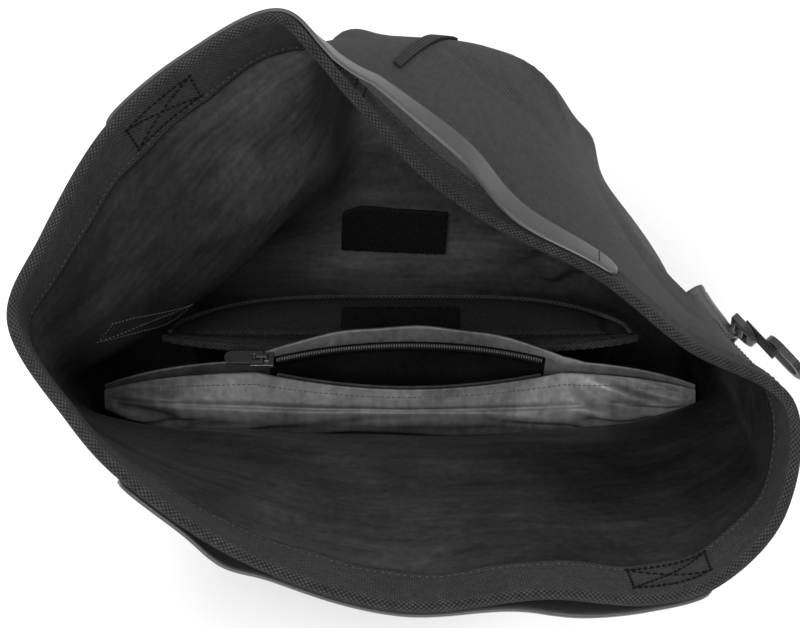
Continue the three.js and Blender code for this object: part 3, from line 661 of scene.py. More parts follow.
def hem_grid(spread):
    shares = np.arange(BODY_COLUMNS) / BODY_COLUMNS
    _, _, up, out = wall_frame(shares, np.full_like(shares, 3.0))
    rim = on_wall(shares, np.full_like(shares, 3.0), 0)
    rows = []
    for depth in np.linspace(HEM_OUTSIDE, 1.5, 7):
        rows.append(on_wall(shares, level_below_rim(shares, depth), spread))
    for turn in np.linspace(0, math.pi, 9):
        reach = CLOTH / 2 + spread
        rows.append(rim + out * ((math.cos(turn) * reach - CLOTH / 2) * MM)
                    + up * (math.sin(turn) * (spread + 0.4) * MM))
    for depth in np.linspace(2.0, HEM_INSIDE, 16):
        lower = depth + hem_wave(shares) * (depth / HEM_INSIDE) ** 3
        pull = 0.35 * bell(depth - (HEM_INSIDE - SEAM_ABOVE_EDGE), 1.6)
        puff = 0.5 * np.sin(np.pi * depth / HEM_INSIDE)
        rows.append(on_wall(shares, level_below_rim(shares, lower), -CLOTH - spread + pull - puff))
    return np.stack(rows, 1)


hem_canvas = skin("hem_canvas", hem_grid(HEM_GAP + BINDING), hem_grid(HEM_GAP), [canvas], ring=True)
print(hem_canvas.name, len(hem_canvas.data.polygons), "faces")

# %% [markdown]
# ## The rubber strips
# Two smooth strips run outside the rim, one on the back and one on the front. They hold the roll when
# the bag is closed. They are stiffer than the cloth and are held at their ends, so the cloth hangs away
# from them in between. Each is a soft-edged bar with a shallow groove near its edges, swept along the
# rim with the same sags as the solids, and its ends are rounded by narrowing the section.

# %% Strips
GRIP_THICK = 2.2
GRIP_ABOVE = 1.0
GRIP_SEAT = HEM_GAP + BINDING + GAP
END_ROUND = 8.0
PEAK_SHARE = 0.05
STRIP_COLUMNS = 150
CROWN = 0.15
GROOVE = {"at": 0.8, "wide": 0.04, "deep": 0.4}
GRIPS = {
    # from share, to share, depth below the rim, sags as (share, spread, gap)
    "grip_strip_back": (-0.153, 0.147, 16, [(-0.062, 0.03, 8), (-0.03, 0.05, 10)]),
    "grip_strip_front": (0.343, 0.641, 30, [(0.405, 0.016, 4), (0.572, 0.03, 6)]),
}


def strip_section(below, height):
    """Half of the outline runs up the outer face, over the groove, and half down the inner face."""
    middle, half = (GRIP_ABOVE - below) / 2, (GRIP_ABOVE + below) / 2 * height
    outline = []
    for t in np.linspace(-1, 1, 25):
        edge = 1 - max(0, (abs(t) - 0.93) / 0.07) ** 2 * 0.55
        groove = GROOVE["deep"] * math.exp(-(((abs(t) - GROOVE["at"]) / GROOVE["wide"]) ** 2))
        crown = CROWN * math.cos(t * math.pi / 2)
        outline.append((GRIP_THICK * edge - groove - CROWN + crown, middle + half * t))
    for t in np.linspace(1, -1, 9):
        edge = max(0, (abs(t) - 0.9) / 0.1) * 0.4
        outline.append((edge, middle + half * t))
    return outline


def strip_frames(start, end, sags):
    shares = np.linspace(start, end, STRIP_COLUMNS)
    point, _, up, out = wall_frame(shares, np.full_like(shares, 3.0))
    sag = sum(gap * bell(shares - at, spread) for at, spread, gap in sags)
    sag = sag * np.clip((np.abs(shares - PEAK_SHARE) - 0.03) / 0.02, 0, 1)
    return point + out * ((GRIP_SEAT + sag) * MM)[:, None], up, out


strips = {}
for grip_name, (start, end, below, sags) in GRIPS.items():
    point, up, out = strip_frames(start, end, sags)
    walked = np.concatenate([[0], np.cumsum(np.linalg.norm(np.diff(point, axis=0), axis=-1))]) / MM
    from_end = np.minimum(walked, walked[-1] - walked)
    short = np.clip(1 - from_end / END_ROUND, 0, 1)
    heights = 0.35 + 0.65 * np.sqrt(1 - short**2)
    sections = np.array([strip_section(below, h) for h in heights])
    strips[grip_name] = bar(grip_name.replace("grip_strip", "rubber_strip"), (point, up, out), sections,
                            [strip_rubber])
    print(grip_name, round(walked[-1]), "mm long")

# %% [markdown]
# ## The padded panel
# A black padded panel stands on the floor across the bag, and its top leans forward, so that the camera
# looks into the slot behind it. Foam between two cloths is thickest in the middle of each sewn field
# and is pinched flat at the seams and at the edges. A voxel remesh and a pressure simulation would
# round it, but would also rub out the seams, so the crown is worked out from the distance to the
# nearest seam.

# %% Panel
PANEL_THICK = 5.0
PANEL_FOOT = {"half": 108, "y": 47}
PANEL_RIDGE = {"half": 128, "middle": (38, 250), "end": (14, 258)}
PANEL_TOP = {"half": 131, "middle": (-20, 300), "end": (-4, 284)}
PANEL_BOW = 4
PANEL_COLUMNS = 150
PANEL_ROWS = 110
PANEL_MM = {"across": 128, "top": 80, "foot": 240, "ridge": 160}
PANEL_SEAM_IN = 14
FLOOR_TOP = CLOTH + GAP


def panel_point(across, level):
    """Rear face of the panel, in metres: level 0 at the floor, 1 at the ridge, 2 on top."""
    across, level = np.broadcast_arrays(np.asarray(across, float), np.asarray(level, float))
    bow = across**PANEL_BOW
    knots = [np.stack([across * PANEL_FOOT["half"], np.full_like(bow, PANEL_FOOT["y"]),
                       np.full_like(bow, FLOOR_TOP)], -1)]
    for part in (PANEL_RIDGE, PANEL_TOP):
        y, z = (part["middle"][k] + (part["end"][k] - part["middle"][k]) * bow for k in (0, 1))
        knots.append(np.stack([across * part["half"], y, z], -1))
    return (open_line(np.stack(knots, -2), level / 2) - [0, BASE_Y, 0]) * MM


def panel_frame(across, level):
    step = 0.004
    level = np.asarray(level, float)
    along = unit(panel_point(across + step, level) - panel_point(across - step, level))
    up = unit(panel_point(across, np.minimum(level + step, 2))
              - panel_point(across, np.maximum(level - step, 0)))
    return panel_point(across, level), along, up, unit(np.cross(along, up))


def on_panel(across, level, offset):
    point, _, _, out = panel_frame(across, level)
    return point + out * (np.asarray(offset, float) * MM)[..., None]


panel_across, panel_level = np.meshgrid(np.linspace(-1, 1, PANEL_COLUMNS), np.linspace(0, 2, PANEL_ROWS),
                                        indexing="ij")
edge_across = (1 - np.abs(panel_across)) * PANEL_MM["across"]
edge_top = (2 - panel_level) * PANEL_MM["top"]
edge_foot = panel_level * PANEL_MM["foot"]
edge = np.minimum(np.minimum(edge_across, edge_top), edge_foot)
seam = np.minimum(np.abs(edge - PANEL_SEAM_IN), np.abs(panel_level - 1.0) * PANEL_MM["ridge"])
crown = np.clip(edge / 5, 0, 1) ** 0.5 * (1 - 0.55 * bell(seam, 3.2))
front_offset = PANEL_THICK / 2 + PANEL_THICK / 2 * crown
rear_offset = PANEL_THICK / 2 * (1 - crown)
panel_front = on_panel(panel_across, panel_level, front_offset)
panel_rear = on_panel(panel_across, panel_level, rear_offset)
panel_front[:, 0, 2] = panel_rear[:, 0, 2] = FLOOR_TOP * MM
pad_panel = skin("pad_panel", panel_front, panel_rear, [pad_cloth])
print(pad_panel.name, len(pad_panel.data.polygons), "faces")

# %% Rolled binding on the panel's top edge
BINDING_RADIUS = 2.2
TWIST_PITCH = 5.0
roll_across = np.linspace(-1, 1, 420)
roll_point, _, roll_up, roll_out = panel_frame(roll_across, np.full_like(roll_across, 2.0))
roll_point = roll_point + roll_out * (PANEL_THICK / 2 * MM) + roll_up * ((BINDING_RADIUS + GAP) * MM)
roll_turn, roll_way = np.meshgrid(np.linspace(0, 2 * math.pi, 16, endpoint=False),
                                  roll_across * PANEL_TOP["half"])
roll_radius = BINDING_RADIUS * (0.94 + 0.06 * np.cos(2 * roll_turn - 2 * math.pi * roll_way / TWIST_PITCH))
roll_section = np.stack([roll_radius * np.cos(roll_turn), roll_radius * np.sin(roll_turn)], -1)
panel_roll = bar("panel_roll", (roll_point, roll_up, roll_out), roll_section, [canvas])
print(panel_roll.name, "follows the top edge")

# %% Piping round the panel's leaning top
PIPE_RADIUS = 1.3
PIPE = {"reach": 0.975, "top": 1.96, "drop": 0.92, "across_power": 0.3, "drop_power": 0.4}
pipe_turn = np.linspace(math.pi, 0, 300)
pipe_swing = np.cos(pipe_turn)
pipe_across = PIPE["reach"] * np.sign(pipe_swing) * np.abs(pipe_swing) ** PIPE["across_power"]
pipe_level = PIPE["top"] - PIPE["drop"] * np.sin(pipe_turn) ** PIPE["drop_power"]
pipe_point, _, _, pipe_out = panel_frame(pipe_across, pipe_level)
pipe_point = pipe_point - pipe_out * (PIPE_RADIUS * 0.7 * MM)
pipe_along = unit(np.gradient(pipe_point, axis=0))
pipe_up = unit(np.cross(pipe_out, pipe_along))
pipe_section = [(PIPE_RADIUS * math.cos(a), PIPE_RADIUS * math.sin(a))
                for a in np.linspace(0, 2 * math.pi, 10)[:-1]]
panel_pipe = bar("panel_pipe", (pipe_point, pipe_up, pipe_out), pipe_section, [canvas])
print(panel_pipe.name, "runs round the leaning top")

# %% [markdown]
# ## The grey pouch
# A thin grey lining hangs in front of the panel as a long pocket. It is caught in the side seams, so it
# gathers into sharp little folds at its ends, and it hangs in soft waves between them. Its section is
# drawn once for the middle and once for the ends and blended between. The folds are waves that run
# down the cloth and grow toward the ends, so the cloth keeps its length round the section.

# %% Section of the pouch
POUCH_HALF = 161.7
POUCH_CLOTH = 1.2
POUCH_TAPER = 4
POUCH_MIDDLE = np.array([(-40, 315), (-31, 262), (-34, 205), (-45, 232), (-63, 276), (-62, 295),
                         (-40, 307)], float)
POUCH_END = np.array([(-38, 284), (-37, 280), (-39, 271), (-44, 272), (-48, 277), (-45, 281),
                      (-38, 284)], float)
LENS_MIDDLE, LENS_HALF, LENS_OPEN, LENS_LINE_Y = 5.0, 83.0, 11.5, -39.0
SLIT = 0.5


def lens_open(x):
    """Half the width of the zip's opening at x."""
    return np.maximum(LENS_OPEN * (1 - ((x - LENS_MIDDLE) / LENS_HALF) ** 2), 0) + SLIT


def pouch_knots(x):
    full = (1 - (np.abs(x) / POUCH_HALF) ** POUCH_TAPER)[..., None, None]
    yz = POUCH_END + (POUCH_MIDDLE - POUCH_END) * full
    lip = POUCH_END[0, 0] + (LENS_LINE_Y - POUCH_END[0, 0]) * full[..., 0, 0]
    yz[..., 0, 0] = lip + lens_open(x) + POUCH_CLOTH
    yz[..., -1, 0] = lip - lens_open(x) - POUCH_CLOTH
    return np.concatenate([np.broadcast_to(x[..., None, None], (*yz.shape[:-1], 1)), yz], -1)


def pouch_point(x, t):
    """Outer face of the pouch, in millimetres of the wall's table."""
    x, t = np.broadcast_arrays(np.asarray(x, float), np.asarray(t, float))
    return open_line(pouch_knots(x), t)


def pouch_inward(x, t):
    step = 0.004
    up = unit(pouch_point(x, np.minimum(t + step, 1)) - pouch_point(x, np.maximum(t - step, 0)))
    return np.stack([np.zeros_like(up[..., 0]), up[..., 2], -up[..., 1]], -1)


print("the pouch is", 2 * POUCH_HALF, "mm long")

# %% Folds of the pouch
END_FOLDS = [
    # from this x on, waves across the end, height, fan of the folds
    (92.0, 6.5, 3.4, 0.5),
    (-118.0, 5.5, 2.8, -0.4),
]
POUCH_CREASES = [
    # x, place round the section, lean in degrees, length, width, push inwards in mm
    (0.0, 0.875, 0, 150, 2.5, 1.8),
    (-10.0, 0.79, 0, 120, 9.0, -1.2),
    (-60.0, 0.70, 8, 40, 6.0, -1.6),
    (40.0, 0.69, -6, 50, 7.0, -1.8),
    (85.0, 0.74, -22, 30, 5.0, 2.0),
    (118.0, 0.68, -35, 26, 5.0, -2.4),
    (134.0, 0.76, -48, 22, 4.0, 2.2),
    (-95.0, 0.72, 24, 26, 5.0, -2.0),
    (-130.0, 0.7, 40, 22, 4.0, 2.2),
    (-20.0, 0.80, 12, 30, 6.0, 1.3),
    (70.0, 0.82, -14, 26, 6.0, -1.3),
]
MM_ROUND_POUCH = 230


def pouch_folds(x, t):
    """Push of the folds along the pouch's inward direction, in millimetres."""
    push = 0.6 * np.sin(x / 17.0 + 5 * t) * np.sin(x / 37.0 + 1.0) + 0.15 * np.sin(x / 6.1 - 9 * t)
    for start, count, height, fan in END_FOLDS:
        reach = np.clip((x - start) / (math.copysign(POUCH_HALF, start) - start), 0, 1)
        ridge = np.sin(2 * np.pi * count * (t + fan * reach * (t - 0.5)) + 3 * reach)
        push = push + height * ridge * np.sin(np.pi * np.clip(reach * 1.1, 0, 1)) ** 0.8
    for at, place, lean, length, width, size in POUCH_CREASES:
        a, b = x - at, (t - place) * MM_ROUND_POUCH
        turn = math.radians(lean)
        push = push + size * bell(a * math.cos(turn) + b * math.sin(turn), length) * bell(
            b * math.cos(turn) - a * math.sin(turn), width)
    lips = np.clip(np.minimum(t, 1 - t) / 0.06, 0, 1)
    ends = np.clip((POUCH_HALF - np.abs(x)) / 8, 0, 1)
    rear = np.clip((t - 0.2) / 0.15, 0, 1)
    return push * lips * ends * rear


def on_pouch(x, t, offset):
    """Point of the folded pouch in metres; offset is inwards, in millimetres."""
    x, t = np.broadcast_arrays(np.asarray(x, float), np.asarray(t, float))
    inward = pouch_inward(x, t) * (offset + pouch_folds(x, t))[..., None]
    return (pouch_point(x, t) + inward - [0, BASE_Y, 0]) * MM


ARCH_RISE, ARCH_LEAN, ARCH_ROWS, ARCH_PAST_LENS = 9.0, 3.5, 8, 12


def pouch_grid(x, t, offset):
    """The pouch, with the rear lip's cloth drawn up above the coil as a low arch."""
    whole = on_pouch(x, t, offset)
    lip = whole[:, :1]
    arch = np.clip(1 - ((x[:, :1] - LENS_MIDDLE) / (LENS_HALF + ARCH_PAST_LENS)) ** 2, 0, 1) ** 0.8
    climb = np.linspace(1, 0, ARCH_ROWS, endpoint=False)
    ripple = 0.5 * np.sin(x[:, :1] / 7.0) * climb
    rise = np.stack([np.zeros(ripple.shape), ARCH_LEAN * arch * climb**1.5 + ripple * arch,
                     ARCH_RISE * arch * climb + 0.02 * climb], -1)
    return np.concatenate([lip + rise * MM, whole], 1)


POUCH_COLUMNS, POUCH_ROWS = 240, 120
LIP_ROWS = ARCH_ROWS + 14
pouch_x, pouch_t = np.meshgrid(POUCH_HALF * np.sin(np.linspace(-1, 1, POUCH_COLUMNS) * math.pi / 2),
                               np.linspace(0, 1, POUCH_ROWS), indexing="ij")
pouch_outside = pouch_grid(pouch_x, pouch_t, 0.0)
pouch_sheet = skin("pouch_sheet", pouch_outside, pouch_grid(pouch_x, pouch_t, POUCH_CLOTH),
                   [pouch_lining, pouch_inside_shade])
# Inside faces of the pouch get the near-black painted shade, except the arch and the lips past the zip's
# opening, which keep the grey lining.
inside_shade_marks = np.ones((POUCH_COLUMNS - 1, POUCH_ROWS + ARCH_ROWS - 1), np.int32)
inside_shade_marks[:, :ARCH_ROWS] = 0
inside_shade_marks[np.abs(pouch_x[1:, 0] - LENS_MIDDLE) > LENS_HALF - 8, :LIP_ROWS] = 0
marks = np.zeros(len(pouch_sheet.data.polygons), np.int32)
marks[inside_shade_marks.size:2 * inside_shade_marks.size] = inside_shade_marks.ravel()
pouch_sheet.data.polygons.foreach_set("material_index", marks)
print(pouch_sheet.name, len(pouch_sheet.data.polygons), "faces")

# %% [markdown]
# ## Rows of small things along a line
# Stitches, zip teeth and the ribs of webbing are all one shape repeated along a line. Placing each by
# hand would be slow to change. One Geometry Nodes tree does it: it turns a line of vertices into a
# curve, walks it in even steps, and puts a small bead at each step, turned along the line and laid on
# the surface by a vector that is stored on the line. Its four sizes are inputs, so the same tree sews
# and makes zips.

# %% The tree for rows
def link(tree, source, output, target, target_input):
    tree.links.new(source.outputs[output], target.inputs[target_input])


def open_tree(name, numbers, counts=()):
    """A new tree with its named inputs, their identifiers, and the node that gives them."""
    tree = bpy.data.node_groups.new(name, "GeometryNodeTree")
    kinds = [("Geometry", "Geometry"), *((n, "Float") for n in numbers), *((n, "Int") for n in counts),
             ("Material", "Material")]
    sockets = {}
    for label, kind in kinds:
        made = tree.interface.new_socket(label, in_out="INPUT", socket_type="NodeSocket" + kind)
        sockets[label] = made.identifier
    tree.interface.new_socket("Geometry", in_out="OUTPUT", socket_type="NodeSocketGeometry")
    return tree, sockets, node(tree, "NodeGroupInput")


def close_tree(tree, given, place):
    """The instances are made real, painted and given out."""
    real = node(tree, "GeometryNodeRealizeInstances")
    paint = node(tree, "GeometryNodeSetMaterial")
    made = node(tree, "NodeGroupOutput")
    link(tree, place, "Instances", real, "Geometry")
    link(tree, real, "Geometry", paint, "Geometry")
    link(tree, given, "Material", paint, "Material")
    link(tree, paint, "Geometry", made, "Geometry")


def grown(name, carrier, tree, sockets, values):
    """The mesh that a tree grows on a carrier, as an object of its own; the carrier goes."""
    modifier = carrier.modifiers.new(tree.name, "NODES")
    modifier.node_group = tree
    for key, value in values.items():
        modifier[sockets[key]] = value
    seen = carrier.evaluated_get(bpy.context.evaluated_depsgraph_get())
    mesh = bpy.data.meshes.new_from_object(seen)
    mesh.name = name
    bpy.data.objects.remove(carrier)
    return to_scene(name, mesh)


def row_tree():
    tree, sockets, given = open_tree("row_of_beads", ("Pitch", "Along", "Across", "Thick"), ("Roundness",))
    line = node(tree, "GeometryNodeMeshToCurve")
    even = node(tree, "GeometryNodeResampleCurve", mode="LENGTH")
    bead = node(tree, "GeometryNodeMeshIcoSphere", Radius=0.5)
    size = node(tree, "ShaderNodeCombineXYZ")
    tangent = node(tree, "GeometryNodeInputTangent")
    lie = node(tree, "GeometryNodeInputNamedAttribute", data_type="FLOAT_VECTOR", Name="lie")
    face = node(tree, "FunctionNodeAlignRotationToVector", axis="X")
    flat = node(tree, "FunctionNodeAlignRotationToVector", axis="Z", pivot_axis="X")
    place = node(tree, "GeometryNodeInstanceOnPoints")
    for name, axis in (("Along", "X"), ("Across", "Y"), ("Thick", "Z")):
        link(tree, given, name, size, axis)
    link(tree, given, "Geometry", line, "Mesh")
    link(tree, line, "Curve", even, "Curve")
    link(tree, given, "Pitch", even, "Length")
    link(tree, given, "Roundness", bead, "Subdivisions")
    link(tree, tangent, "Tangent", face, "Vector")
    link(tree, face, "Rotation", flat, "Rotation")
    link(tree, lie, "Attribute", flat, "Vector")
    link(tree, even, "Curve", place, "Points")
    link(tree, bead, "Mesh", place, "Instance")
    link(tree, flat, "Rotation", place, "Rotation")
    link(tree, size, "Vector", place, "Scale")
    close_tree(tree, given, place)
    return tree, sockets


ROW_TREE, ROW_SOCKETS = row_tree()


def rows(name, lines, pitch, along, across, thick, material, roundness=1):
    """One mesh of beads along several lines; each line is (points in metres, vectors to lie on)."""
    points = np.concatenate([line[0] for line in lines])
    lies = np.concatenate([line[1] for line in lines])
    edges, first = [], 0
    for line in lines:
        edges += [(first + k, first + k + 1) for k in range(len(line[0]) - 1)]
        first += len(line[0])
    path = bpy.data.meshes.new(name + "_path")
    path.from_pydata(points.tolist(), edges, [])
    path.attributes.new("lie", "FLOAT_VECTOR", "POINT").data.foreach_set(
        "vector", lies.astype(np.float32).ravel())
    values = {"Pitch": pitch * MM, "Along": along * MM, "Across": across * MM, "Thick": thick * MM,
              "Roundness": roundness, "Material": material}
    thing = grown(name, to_scene(name + "_path", path), ROW_TREE, ROW_SOCKETS, values)
    count = len(thing.data.polygons)
    thing.data.polygons.foreach_set("use_smooth", np.ones(count, bool))
    print(name, count, "faces on", len(lines), "lines")
    return thing


print("tree", ROW_TREE.name, "with", len(ROW_TREE.nodes), "nodes")

# %% [markdown]
# ## The zip
# A coil zip has two woven tapes, each with a row of plastic turns along its edge. The tapes hang inside
# the pouch's lips, open as a lens. Each tape is a thin swept band, and the coil is a row of beads that
# reach across the edge.

# %% Tapes and coils
TAPE_HALF, TAPE_THICK, TAPE_DEEP = 71.0, 1.3, 6.0
COIL_ROW = (1.35, 0.95, 2.3, 1.7)
TAPES = {
    # side of the opening, lip, clearance, height of the coil on the tape
    "zip_tape_rear": (1, 0.0, 0.9, 0.1),
    "zip_tape_front": (-1, 1.0, 0.2, -3.4),
}
tape_cloth = lining_finish("tape_cloth", 0.010, 0.026, 0.7, 0.2, (300, 300, 1), 0.0005)
tapes, coil_lines = {}, []
for tape_name, (towards, lip, clear, coil_up) in TAPES.items():
    x = np.linspace(LENS_MIDDLE + TAPE_HALF, LENS_MIDDLE - TAPE_HALF, 110)
    y = LENS_LINE_Y + towards * (lens_open(x) - clear - TAPE_THICK)
    point = (np.stack([x, y, pouch_point(x, lip)[..., 2]], -1) - [0, BASE_Y, 0]) * MM
    up, out = np.zeros_like(point), np.zeros_like(point)
    up[:, 2], out[:, 1] = 1, 1
    low, high = sorted((0, towards * TAPE_THICK))
    section = [(low, -TAPE_DEEP), (high, -TAPE_DEEP), (high, -0.6), (high - 0.3, 0), (low + 0.3, 0),
               (low, -0.6)]
    tapes[tape_name] = bar(tape_name.replace("zip_", ""), (point, up, out), section, [tape_cloth])
    coil_lines.append((point - out * (towards * 0.2 * MM) + up * (coil_up * MM), up))
zip_coil = rows("zip_coil", coil_lines, *COIL_ROW, coil_plastic, roundness=2)

# %% [markdown]
# ## Slider, puller and moulded pieces
# Small hard pieces already have their exact shape in the CAD frame. What they lack is the soft edge of a
# casting or a moulding, which is what catches the light. A copy of the solid is merged, because its
# triangles come loose, and a Bevel modifier rounds its sharp edges.

# %% Bevelled copies of solids
def rounded_copy(name, cad_node, material, width, steps=3):
    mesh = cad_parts[cad_node].data.copy()
    mesh.name = name
    work = bmesh.new()
    work.from_mesh(mesh)
    bmesh.ops.remove_doubles(work, verts=work.verts, dist=1e-6)
    bmesh.ops.dissolve_limit(work, angle_limit=math.radians(1), verts=work.verts, edges=work.edges)
    work.to_mesh(mesh)
    work.free()
    mesh.materials.clear()
    mesh.materials.append(material)
    thing = to_scene(name, mesh)
    edge = thing.modifiers.new("soft edges", "BEVEL")
    edge.width = width * MM
    edge.segments = steps
    edge.limit_method = "ANGLE"
    edge.angle_limit = math.radians(35)
    mesh.polygons.foreach_set("use_smooth", np.zeros(len(mesh.polygons), bool))
    print(name, len(mesh.polygons), "faces before the bevel")
    return thing


slider = rounded_copy("slider_cast", "zip_slider", dark_metal, 0.55)
puller = rounded_copy("puller_cast", "zip_puller", dark_metal, 0.3)
hooks = rounded_copy("hooks_moulded", "rack_hooks", moulded_plastic, 1.0)
moulded = {}
for side in ("right", "left"):
    moulded[f"side_lock_{side}"] = rounded_copy(f"lock_{side}", f"side_lock_{side}", moulded_plastic, 0.5)
    moulded[f"side_loop_{side}"] = rounded_copy(f"loop_{side}", f"side_loop_{side}", moulded_plastic, 0.8)

# %% [markdown]
# ## Hook-and-loop
# The patch on the back wall and the strip on the panel are woven pile: a thin base with a felt of tiny
# loops. Bump alone looks like rough paint at the edge, so a second Geometry Nodes tree scatters short
# tufts over the face, with a fixed seed so that every run gives the same felt.

# %% Tuft tree
TUFT_TURN_LOW, TUFT_TURN_HIGH = (-0.7, -0.7, 0.0), (0.7, 0.7, 3.1)
TUFT_SIZES = {"Density": 900000.0, "Height": 1.1 * MM, "Radius": 0.42 * MM}


def tuft_tree():
    tree, sockets, given = open_tree("felt_of_tufts", tuple(TUFT_SIZES))
    spots = node(tree, "GeometryNodeDistributePointsOnFaces", Seed=7)
    tuft = node(tree, "GeometryNodeMeshCone", Vertices=4)
    chance = node(tree, "FunctionNodeRandomValue", data_type="FLOAT_VECTOR", Seed=3)
    chance.inputs["Min"].default_value = TUFT_TURN_LOW
    chance.inputs["Max"].default_value = TUFT_TURN_HIGH
    lean = node(tree, "FunctionNodeEulerToRotation")
    turned = node(tree, "FunctionNodeRotateRotation", rotation_space="LOCAL")
    place = node(tree, "GeometryNodeInstanceOnPoints")
    link(tree, given, "Geometry", spots, "Mesh")
    link(tree, given, "Density", spots, "Density")
    link(tree, given, "Height", tuft, "Depth")
    link(tree, given, "Radius", tuft, "Radius Bottom")
    link(tree, spots, "Rotation", turned, "Rotation")
    link(tree, chance, "Value", lean, "Euler")
    link(tree, lean, "Rotation", turned, "Rotate By")
    link(tree, spots, "Points", place, "Points")
    link(tree, tuft, "Mesh", place, "Instance")
    link(tree, turned, "Rotation", place, "Rotation")
    close_tree(tree, given, place)
    return tree, sockets


TUFT_TREE, TUFT_SOCKETS = tuft_tree()


def felt(name, face_grid, material):
    """Tufts over a grid of points whose front is seen with columns x rows toward the viewer."""
    columns, count = face_grid.shape[:2]
    i, j = (a.ravel() for a in np.meshgrid(np.arange(columns - 1), np.arange(count - 1), indexing="ij"))
    faces = np.stack([i * count + j, (i + 1) * count + j, (i + 1) * count + j + 1, i * count + j + 1], 1)
    carrier = add_object(name + "_face", face_grid.reshape(-1, 3), faces.tolist(), [material])
    thing = grown(name, carrier, TUFT_TREE, TUFT_SOCKETS, {**TUFT_SIZES, "Material": material})
    print(name, len(thing.data.polygons), "faces")
    return thing


# %% Patch and strip
PILE_THICK = 1.6
PATCH_SEAT = 1.2
PATCH = {"low": ((-0.031, 0.944), (0.0405, 0.967)), "high": ((-0.032, 1.144), (0.04, 1.185))}
STRIP = {"from": -0.25, "to": 0.25, "low": 1.46, "high": 1.8, "seat": 0.8}


def patch_places(low, high, columns, rows_up):
    """Shares and levels of a patch on the wall whose low and high edges each join two places."""
    part, height = (v[..., None] for v in np.meshgrid(np.linspace(0, 1, columns), np.linspace(0, 1, rows_up),
                                                      indexing="ij"))
    edges = [np.array(a) + (np.array(b) - np.array(a)) * part for a, b in (low, high)]
    place = edges[0] + (edges[1] - edges[0]) * height
    return place[..., 0], place[..., 1]


patch_s, patch_l = patch_places(PATCH["low"], PATCH["high"], 40, 24)
patch_near = -CLOTH - PATCH_SEAT
pile_patch = skin("pile_patch", on_wall(patch_s, patch_l, patch_near),
                  on_wall(patch_s, patch_l, patch_near - PILE_THICK), [pile_black])
patch_felt = felt("patch_felt", on_wall(patch_s, patch_l, patch_near - PILE_THICK)[::-1], pile_black)

strip_a, strip_l = np.meshgrid(np.linspace(STRIP["from"], STRIP["to"], 40),
                               np.linspace(STRIP["low"], STRIP["high"], 14), indexing="ij")
pile_strip = skin("pile_strip", on_panel(strip_a, strip_l, -STRIP["seat"]),
                  on_panel(strip_a, strip_l, -STRIP["seat"] - PILE_THICK), [pile_black])
strip_felt = felt("strip_felt", on_panel(strip_a, strip_l, -STRIP["seat"] - PILE_THICK)[::-1], pile_black)

# %% [markdown]
# ## Side hardware
# On each side a tube of coated fabric is sewn to the wall. On its outer face hangs a slotted half-round
# of plastic, with a stub of webbing and a loop for the closing strap. The tube is made from two rings of
# points and pressed a little flat, because real fabric does not stay round. The webbing is a soft slab
# with its ribs laid on as a row.

# %% Tubes and webbing
TAB = {"half": 17, "out": 8, "up": 10, "wall": 1.8}
HANG = {"along": 8, "clear": 0.6}
LOCK_THICK = 4
WEBBING_STUB = {"from": 6, "to": 28, "half": 8.5, "thick": 2}
SIDE_LOOP = {"centre": 33, "straight": 8, "outer": 10, "inner": 6.5, "thick": 4}
WEBBING_ROW = (1.5, 1.2, 15.6, 0.5)
LOOP_ROW = (1.9, 0.9, 2.6, 0.9)
SIDES = {
    # share, level, clearance from the wall, direction along the wall, swing of what hangs
    "right": (0.727, 2.02, 0.8, -1, 0.15),
    "left": (0.215, 1.15, 0.4, 1, 0.15),
}


def side_seat(side):
    """Matrix from the hardware's own axes (along, out, up) to the CAD frame, in metres."""
    share, level, _, forward, _ = SIDES[side]
    point, along, _, out = (v[0] for v in wall_frame(np.array([share]), np.array([level])))
    along = along * forward
    return point, np.stack([along, out, np.cross(along, out)])


def seated(side, local):
    point, axes = side_seat(side)
    return point + (np.asarray(local, float) * MM) @ axes


def swung(side, local):
    """Places points of the hanging pieces, which swing a little away from the wall."""
    clear, swing = SIDES[side][2], SIDES[side][4]
    local = np.asarray(local, float)
    x, y = local[..., 0], local[..., 1]
    turned = np.stack([x * math.cos(swing) - y * math.sin(swing), x * math.sin(swing) + y * math.cos(swing),
                       local[..., 2]], -1)
    return seated(side, turned + [HANG["along"], clear + 2 * TAB["out"] + HANG["clear"] + LOCK_THICK / 2, 0])


def tube_grid(side, shrink):
    turn, x = np.meshgrid(np.linspace(0, 2 * math.pi, 48, endpoint=False),
                          np.linspace(-TAB["half"], TAB["half"], 30), indexing="ij")
    press = 1 - 0.10 * bell(x + 6, 9) * bell(np.sin(turn) - 0.4, 0.5)
    seam = 0.35 * bell(np.abs(x) - (TAB["half"] - 3.5), 0.8)
    y = (TAB["out"] - shrink - seam) * np.cos(turn) * press + TAB["out"] + SIDES[side][2]
    z = (TAB["up"] - shrink - seam) * np.sin(turn) * press
    return seated(side, np.stack([x, y, z], -1))


